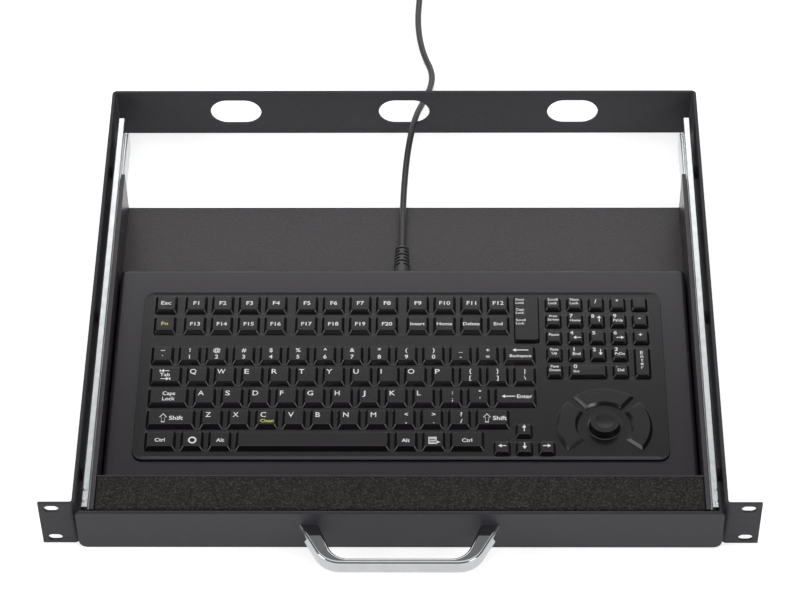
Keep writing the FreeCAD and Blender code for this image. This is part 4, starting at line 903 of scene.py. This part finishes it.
# Widths against those of Blender's own letters
LETTER_WIDTHS = {
    "Q": 1.02, "W": 0.92, "E": 1.34, "R": 1.20, "T": 1.09, "Y": 1.18, "U": 1.05, "I": 1.10, "O": 1.03,
    "P": 1.23, "A": 1.05, "S": 1.42, "D": 1.05, "F": 1.10, "G": 1.08, "H": 0.97, "J": 1.50, "K": 1.09,
    "L": 1.06, "Z": 0.99, "X": 0.89, "C": 1.06, "V": 1.08, "B": 1.08, "N": 0.99, "M": 0.99,
}
PAIR_SPREAD = 3.0
PAIR_HEIGHT = 3.3
PAIR_WIDE = 1.06
LINE_SPREAD = 0.77
SHIFT_ARROW = [(-2.7, 0.7), (0.0, 4.0), (2.7, 0.7), (1.2, 0.7), (1.2, -3.8), (-1.2, -3.8), (-1.2, 0.7)]
SYSTEM_RADIUS = 2.9
SYSTEM_PLACE = (0.4, -1.2)
MENU_LINES = (-2.9, -1.4, 0.1)
MENU_STROKE = 0.64
MENU_POINTER = [(0.6, -0.5), (4.6, -3.1), (2.8, -3.3), (1.8, -4.9)]
TALL_TOP = 7.4
TALL_STEP = 3.25


def single(text, height=3.0, wide=1.0, x=0.0, y=0.0):
    return lambda mark: mark.text(text, x, y, height, CENTRE, wide)


def letter(text, x, y):
    return lambda mark: mark.text(text, x, y, LETTER_HEIGHT, LEFT, LETTER_WIDTHS[text], LETTER_WEIGHT)


def pair(upper, lower, x=0.15, y=-0.4):
    def draw(mark):
        mark.text(upper, x, y + PAIR_SPREAD, PAIR_HEIGHT, CENTRE, PAIR_WIDE)
        mark.text(lower, x, y - PAIR_SPREAD, PAIR_HEIGHT, CENTRE, PAIR_WIDE)
    return draw


def lines(upper, lower, height=2.15, x=-0.2, y=1.1, align=CENTRE):
    def draw(mark):
        mark.text(upper, x, y + height * LINE_SPREAD, height, align)
        mark.text(lower, x, y - height * LINE_SPREAD, height, align)
    return draw


def pad_word(digit, word, x=0.0, height=2.2):
    def draw(mark):
        mark.text(digit, x - 2.7, 2.9, height=3.2, wide=1.1)
        mark.text(word, x - 3.7, -1.1, height, LEFT)
    return draw


def pad_arrow(digit, x, y, turn):
    def draw(mark):
        mark.text(digit, -2.8, 2.7, height=3.0, wide=1.1)
        mark.arrow(x, y + 0.3, length=5.4, turn=turn)
    return draw


def arrow_only(turn):
    return lambda mark: mark.arrow(0.0, 0.65, length=5.6, turn=turn, stroke=0.65, head=2.4)


def shift(x):
    def draw(mark):
        mark.band([(x + across - 5.1, up - 0.9) for across, up in SHIFT_ARROW], stroke=0.5)
        mark.text("Shift", x - 1.0, -0.9, height=3.4, align=LEFT, wide=1.1)
    return draw


def tab(mark):
    mark.arrow(-0.5, 2.9, length=6.0, turn=LEFTWARD)
    mark.bar(left=-4.3, low=1.8, right=-3.6, high=4.0)
    mark.text("Tab", -0.4, -0.5, height=2.9, wide=1.1)
    mark.arrow(-0.3, -4.2, length=6.0, turn=RIGHTWARD)
    mark.bar(left=2.9, low=-5.3, right=3.6, high=-3.1)


def backspace(mark):
    mark.arrow(0.7, 2.7, length=11.2, turn=LEFTWARD, stroke=0.8, head=2.4)
    mark.text("Backspace", 0.7, -2.5, height=2.4, wide=1.06)


def enter(mark):
    mark.arrow(-5.0, -0.8, length=9.4, turn=LEFTWARD, stroke=0.8, head=2.4)
    mark.text("Enter", 0.9, -0.8, height=3.1, align=LEFT, wide=1.08)


def system(mark):
    """A plain ring."""
    ring = []
    for angle in range(0, 360, 15):
        x = SYSTEM_RADIUS * math.cos(math.radians(angle)) + SYSTEM_PLACE[0]
        y = SYSTEM_RADIUS * math.sin(math.radians(angle)) + SYSTEM_PLACE[1]
        ring.append((x, y))
    mark.band(ring, stroke=0.7)


def menu(mark):
    """A list with a pointer on it."""
    mark.band([(-3.6, -4.4), (1.9, -4.4), (1.9, 1.6), (-3.6, 1.6)], stroke=0.65)
    for level in MENU_LINES:
        mark.bar(left=-2.6, low=level - MENU_STROKE / 2, right=0.9, high=level + MENU_STROKE / 2)
    mark.add(MENU_POINTER, [(0, 3, 2), (0, 2, 1)])


def tall_enter(mark):
    for place, sign in enumerate("Enter"):
        mark.text(sign, -0.4, TALL_TOP - TALL_STEP * place, height=2.8, wide=1.2)


def zero(mark):
    mark.text("0", -8.8, 2.7, height=3.2, wide=1.15)
    mark.text("Ins", -10.0, -1.5, height=2.2, align=LEFT, wide=1.1)


def delete(mark):
    mark.text(".", -2.9, 3.6, height=2.6)
    mark.text("Del", -0.1, -0.5, height=2.3)


def clean(mark):
    mark.text("Clean", -4.0, -3.3, height=2.5, align=LEFT, wide=1.1)


NUMBER_PAIRS = ("~`", "!1", "@2", "#3", "$4", "%5", "^6", "&7", "*8", "(9", ")0", "_-", "+=")
EDIT_WORDS = ("Insert", "Home", "Delete", "End")
# White legends of each node's keys in reading order, None where a key has none
LEGENDS = {
    "escape_and_fn_keys": [single("Esc", height=3.1, wide=1.28, x=-0.1, y=-0.2), None],
    "function_keys": [
        single(f"F{number}", height=3.3, wide=1.15, x=0.1, y=-0.4) for number in range(1, 13)
    ],
    "upper_function_keys": [
        *[single(f"F{number}", height=3.1, wide=1.15, x=0.2, y=-0.7) for number in range(13, 21)],
        *[single(word, height=2.75, wide=1.1, x=-0.1, y=-0.6) for word in EDIT_WORDS],
    ],
    "number_keys": [pair(*signs) for signs in NUMBER_PAIRS],
    "upper_letter_keys": [
        *[letter(sign, x=-5.4, y=2.35) for sign in "QWERTYUIOP"],
        *[pair(*signs, x=0.1, y=-0.3) for signs in ("{[", "}]", "|\\")],
    ],
    "home_row_keys": [
        *[letter(sign, x=-4.6, y=2.05) for sign in "ASDFGHJKL"],
        *[pair(*signs, x=0.95, y=-0.4) for signs in (":;", "\"'")],
    ],
    "lower_letter_keys": [
        *[letter(sign, x=-4.1, y=2.0) for sign in "ZXCVBNM"],
        *[pair(*signs, x=1.3, y=-0.7) for signs in ("<,", ">.", "?/")],
    ],
    "modifier_keys": [
        single("Ctrl", y=-1.0),
        system,
        single("Alt", x=0.55, y=-1.2),
        single("Alt", x=-0.2, y=-1.3),
        menu,
        single("Ctrl", y=-1.2),
    ],
    "tab_key": [tab],
    "caps_lock_key": [lines("Caps", "Lock", height=3.05, x=-3.9, y=-0.55, align=LEFT)],
    "left_shift_key": [shift(x=0.0)],
    "right_shift_key": [shift(x=1.2)],
    "backspace_key": [backspace],
    "enter_key": [enter],
    "arrow_keys": [arrow_only(turn) for turn in (UPWARD, LEFTWARD, DOWNWARD, RIGHTWARD)],
    "keypad_keys": [
        lines("Scroll", "Lock"),
        lines("Num", "Lock"),
        single("/", height=3.6, x=-0.5, y=1.1),
        single("*", x=-0.5, y=1.2),
        None,
        lines("Print", "Screen", height=2.0),
        pad_word("7", "Home", height=2.05),
        pad_arrow("8", x=1.6, y=0.0, turn=UPWARD),
        pad_word("9", "PgUp"),
        single("-", height=3.6, wide=1.3, x=-0.4, y=1.2),
        single("Pause", height=2.1, wide=1.05, y=1.0),
        pad_arrow("4", x=0.8, y=-1.9, turn=LEFTWARD),
        single("5", wide=1.2, x=-2.6, y=2.6),
        pad_arrow("6", x=0.6, y=-1.9, turn=RIGHTWARD),
        single("+", height=3.4, wide=1.1, x=-0.5, y=0.9),
        lines("Page", "Up"),
        pad_word("1", "End", x=1.1, height=2.6),
        pad_arrow("2", x=1.6, y=0.0, turn=DOWNWARD),
        pad_word("3", "PgDn"),
        lines("Page", "Down"),
        delete,
    ],
    "keypad_zero_key": [zero],
    "keypad_enter_key": [tall_enter],
}
# Node, its key in reading order, and the yellow legend on it
COLOURED_LEGENDS = [
    ("escape_and_fn_keys", 1, single("Fn", wide=1.25, x=-0.1, y=-0.3)),
    ("lower_letter_keys", 2, clean),
]
# Level under the indicator block's rear edge, and the word over "Lock"
LABELS = [(-4.7, "Num"), (-14.0, "Caps"), (-23.8, "Scroll")]
LABEL_INSET = 1.8
LABEL_STEP = 3.0
LABEL_HEIGHT = 2.0
LABEL_WIDE = 1.04


def top_middle(points):
    """The middle of a key's top, lifted so that print shows on it."""
    low, high = corners(points)
    return Vector(((low.x + high.x) / 2, (low.y + high.y) / 2, high.z + PRINT_LIFT))


def add_legends():
    for node, drawings in LEGENDS.items():
        marks = Lettering()
        keys = solids(node)
        assert len(keys) == len(drawings), (node, len(keys), len(drawings))
        for points, draw in zip(keys, drawings):
            marks.origin = top_middle(points)
            if draw:
                draw(marks)
        marks.finish(node + "_legends", BODY_OF[node], "white_ink")
    for node, index, draw in COLOURED_LEGENDS:
        marks = Lettering()
        marks.origin = top_middle(solids(node)[index])
        draw(marks)
        marks.finish(node + "_coloured_legend", BODY_OF[node], "yellow_ink")


def add_labels():
    marks = Lettering()
    low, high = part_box("indicator_block")
    marks.origin = Vector((low.x, high.y, high.z + PRINT_LIFT))
    for level, word in LABELS:
        marks.text(word, LABEL_INSET, level, LABEL_HEIGHT, LEFT, LABEL_WIDE)
        marks.text("Lock", LABEL_INSET, level - LABEL_STEP, LABEL_HEIGHT, LEFT, LABEL_WIDE)
    marks.finish("indicator_labels", BODY_OF["indicator_block"], "white_ink")


# Palm rest

FOAM_STEP = 1.0 * MM
FOAM_EDGE = 1.1 * MM
FOAM_ROUGH = 0.35 * MM
FOAM_GRAIN = 700
FOAM_SMOOTH = 60.0


def foam_height(x, y, low, high):
    """The pad's rough upper side, rounded down to its left, right and front edge."""
    inset = min(x - low.x, high.x - x, y - low.y)
    fall = FOAM_EDGE - math.sqrt(max(0.0, FOAM_EDGE ** 2 - max(0.0, FOAM_EDGE - inset) ** 2))
    rough = noise.noise(Vector((x, y, 0.0)) * FOAM_GRAIN) * FOAM_ROUGH
    return high.z - fall - FOAM_ROUGH + rough


def add_foam():
    low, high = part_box("palm_rest_pad")
    across = int((high.x - low.x) / FOAM_STEP)
    along = int((high.y - low.y) / FOAM_STEP)

    def index(row, place):
        return row * (across + 1) + place

    vertices = []
    for row in range(along + 1):
        for place in range(across + 1):
            x = low.x + (high.x - low.x) * place / across
            y = low.y + (high.y - low.y) * row / along
            vertices.append((x, y, foam_height(x, y, low, high)))
    faces = [
        (index(row, place), index(row, place + 1), index(row + 1, place + 1), index(row + 1, place))
        for row in range(along)
        for place in range(across)
    ]
    border = [
        *[index(0, place) for place in range(across)],
        *[index(row, across) for row in range(along)],
        *[index(along, place) for place in range(across, 0, -1)],
        *[index(row, 0) for row in range(along, 0, -1)],
    ]
    first = len(vertices)
    vertices += [(vertices[corner][0], vertices[corner][1], low.z) for corner in border]
    count = len(border)
    for here in range(count):
        after = (here + 1) % count
        faces.append((border[after], border[here], first + here, first + after))
    faces.append(tuple(range(first, first + count)))
    mesh = made_mesh("palm_rest_foam", vertices, faces, LOOKS["foam"])
    shade(mesh, FOAM_SMOOTH)
    foam = place_piece(link_object("palm_rest_foam", mesh), "tray", ["palm_rest_pad"])


# Stage

FLOOR_GLOW = 0.62
FLOOR_GREYS = [(0.2, 0.86), (0.8, 0.89)]
FLOOR_PATCH = 3.0
FLOOR_REACH = 6.0
FLOOR_GAP = 0.02 * MM
# Height of the direction looked in, and the grey there
SKY = [(0.0, 1.0), (0.12, 0.95), (0.3, 0.10), (0.55, 0.14), (0.78, 0.22), (1.0, 0.7)]
# Name, place, target, width and depth, power
LAMPS = [
    ("overhead", (0.0, 0.25, 1.9), (0.0, 0.2, 0.0), (2.4, 1.6), 8.0),
    ("rear", (0.0, 2.828, 1.767), (0.0, 0.15, 0.0), (3.6, 1.7), 38.0),
    ("left", (-1.65, -0.62, 0.76), (0.0, 0.12, 0.0), (0.8, 0.8), 9.0),
    ("right", (1.3, -1.0, 0.97), (-0.05, 0.12, 0.0), (0.7, 0.6), 7.0),
]


def greys(stops):
    """Colour stops for (position, grey) stops."""
    return [(position, (level, level, level)) for position, level in stops]


def seen_directly(tree):
    """1 for rays from the camera and for mirrored or transmitted ones, 0 for the rest."""
    rays = tree.nodes.new("ShaderNodeLightPath")
    seen = rays.outputs["Is Camera Ray"]
    for output in ("Is Glossy Ray", "Is Transmission Ray"):
        either = tree.nodes.new("ShaderNodeMath")
        either.operation = "MAXIMUM"
        tree.links.new(seen, either.inputs[0])
        tree.links.new(rays.outputs[output], either.inputs[1])
        seen = either.outputs[0]
    return seen


def floor_finish():
    finish = Finish("floor", roughness=0.9, gloss=0.1)
    finish.tones(finish.noise(FLOOR_PATCH), greys(FLOOR_GREYS))
    spread = finish.tree.nodes.new("ShaderNodeMapRange")
    spread.inputs["To Max"].default_value = FLOOR_GLOW
    finish.link(seen_directly(finish.tree), spread.inputs["Value"])
    finish.shader.inputs["Emission Color"].default_value = (1.0, 1.0, 1.0, 1.0)
    finish.link(spread.outputs["Result"], finish.shader.inputs["Emission Strength"])
    return finish.material


def add_floor():
    level = cad_box[0].z - FLOOR_GAP
    vertices = [
        (-FLOOR_REACH, -FLOOR_REACH, level),
        (FLOOR_REACH, -FLOOR_REACH, level),
        (FLOOR_REACH, FLOOR_REACH, level),
        (-FLOOR_REACH, FLOOR_REACH, level),
    ]
    mesh = made_mesh("floor", vertices, [(0, 1, 2, 3)], floor_finish())
    link_object("floor", mesh)


def add_world():
    """A pale horizon under a grey ceiling, by the height of the direction looked in."""
    world = bpy.data.worlds.new("studio")
    world.use_nodes = True
    bpy.context.scene.world = world
    tree = world.node_tree
    heading = tree.nodes.new("ShaderNodeTexCoord").outputs["Generated"]
    parts = tree.nodes.new("ShaderNodeSeparateXYZ")
    tree.links.new(heading, parts.inputs["Vector"])
    ramp = tree.nodes.new("ShaderNodeValToRGB")
    set_stops(ramp, greys(SKY))
    tree.links.new(parts.outputs["Z"], ramp.inputs["Fac"])
    tree.links.new(ramp.outputs["Color"], tree.nodes["Background"].inputs["Color"])


def add_lamp(name, place, target, size, power):
    data = bpy.data.lights.new(name, "AREA")
    data.shape = "RECTANGLE"
    data.size, data.size_y = size
    data.energy = power
    lamp = link_object(name, data)
    lamp.location = place
    lamp.rotation_euler = (Vector(target) - Vector(place)).to_track_quat("-Z", "Y").to_euler()


add_camera()
add_cord()
add_keys()
add_bed()
add_boot()
add_legends()
add_labels()
add_foam()
add_floor()
add_world()
for lamp_settings in LAMPS:
    add_lamp(*lamp_settings)
bpy.context.scene.view_settings.view_transform = "Standard"
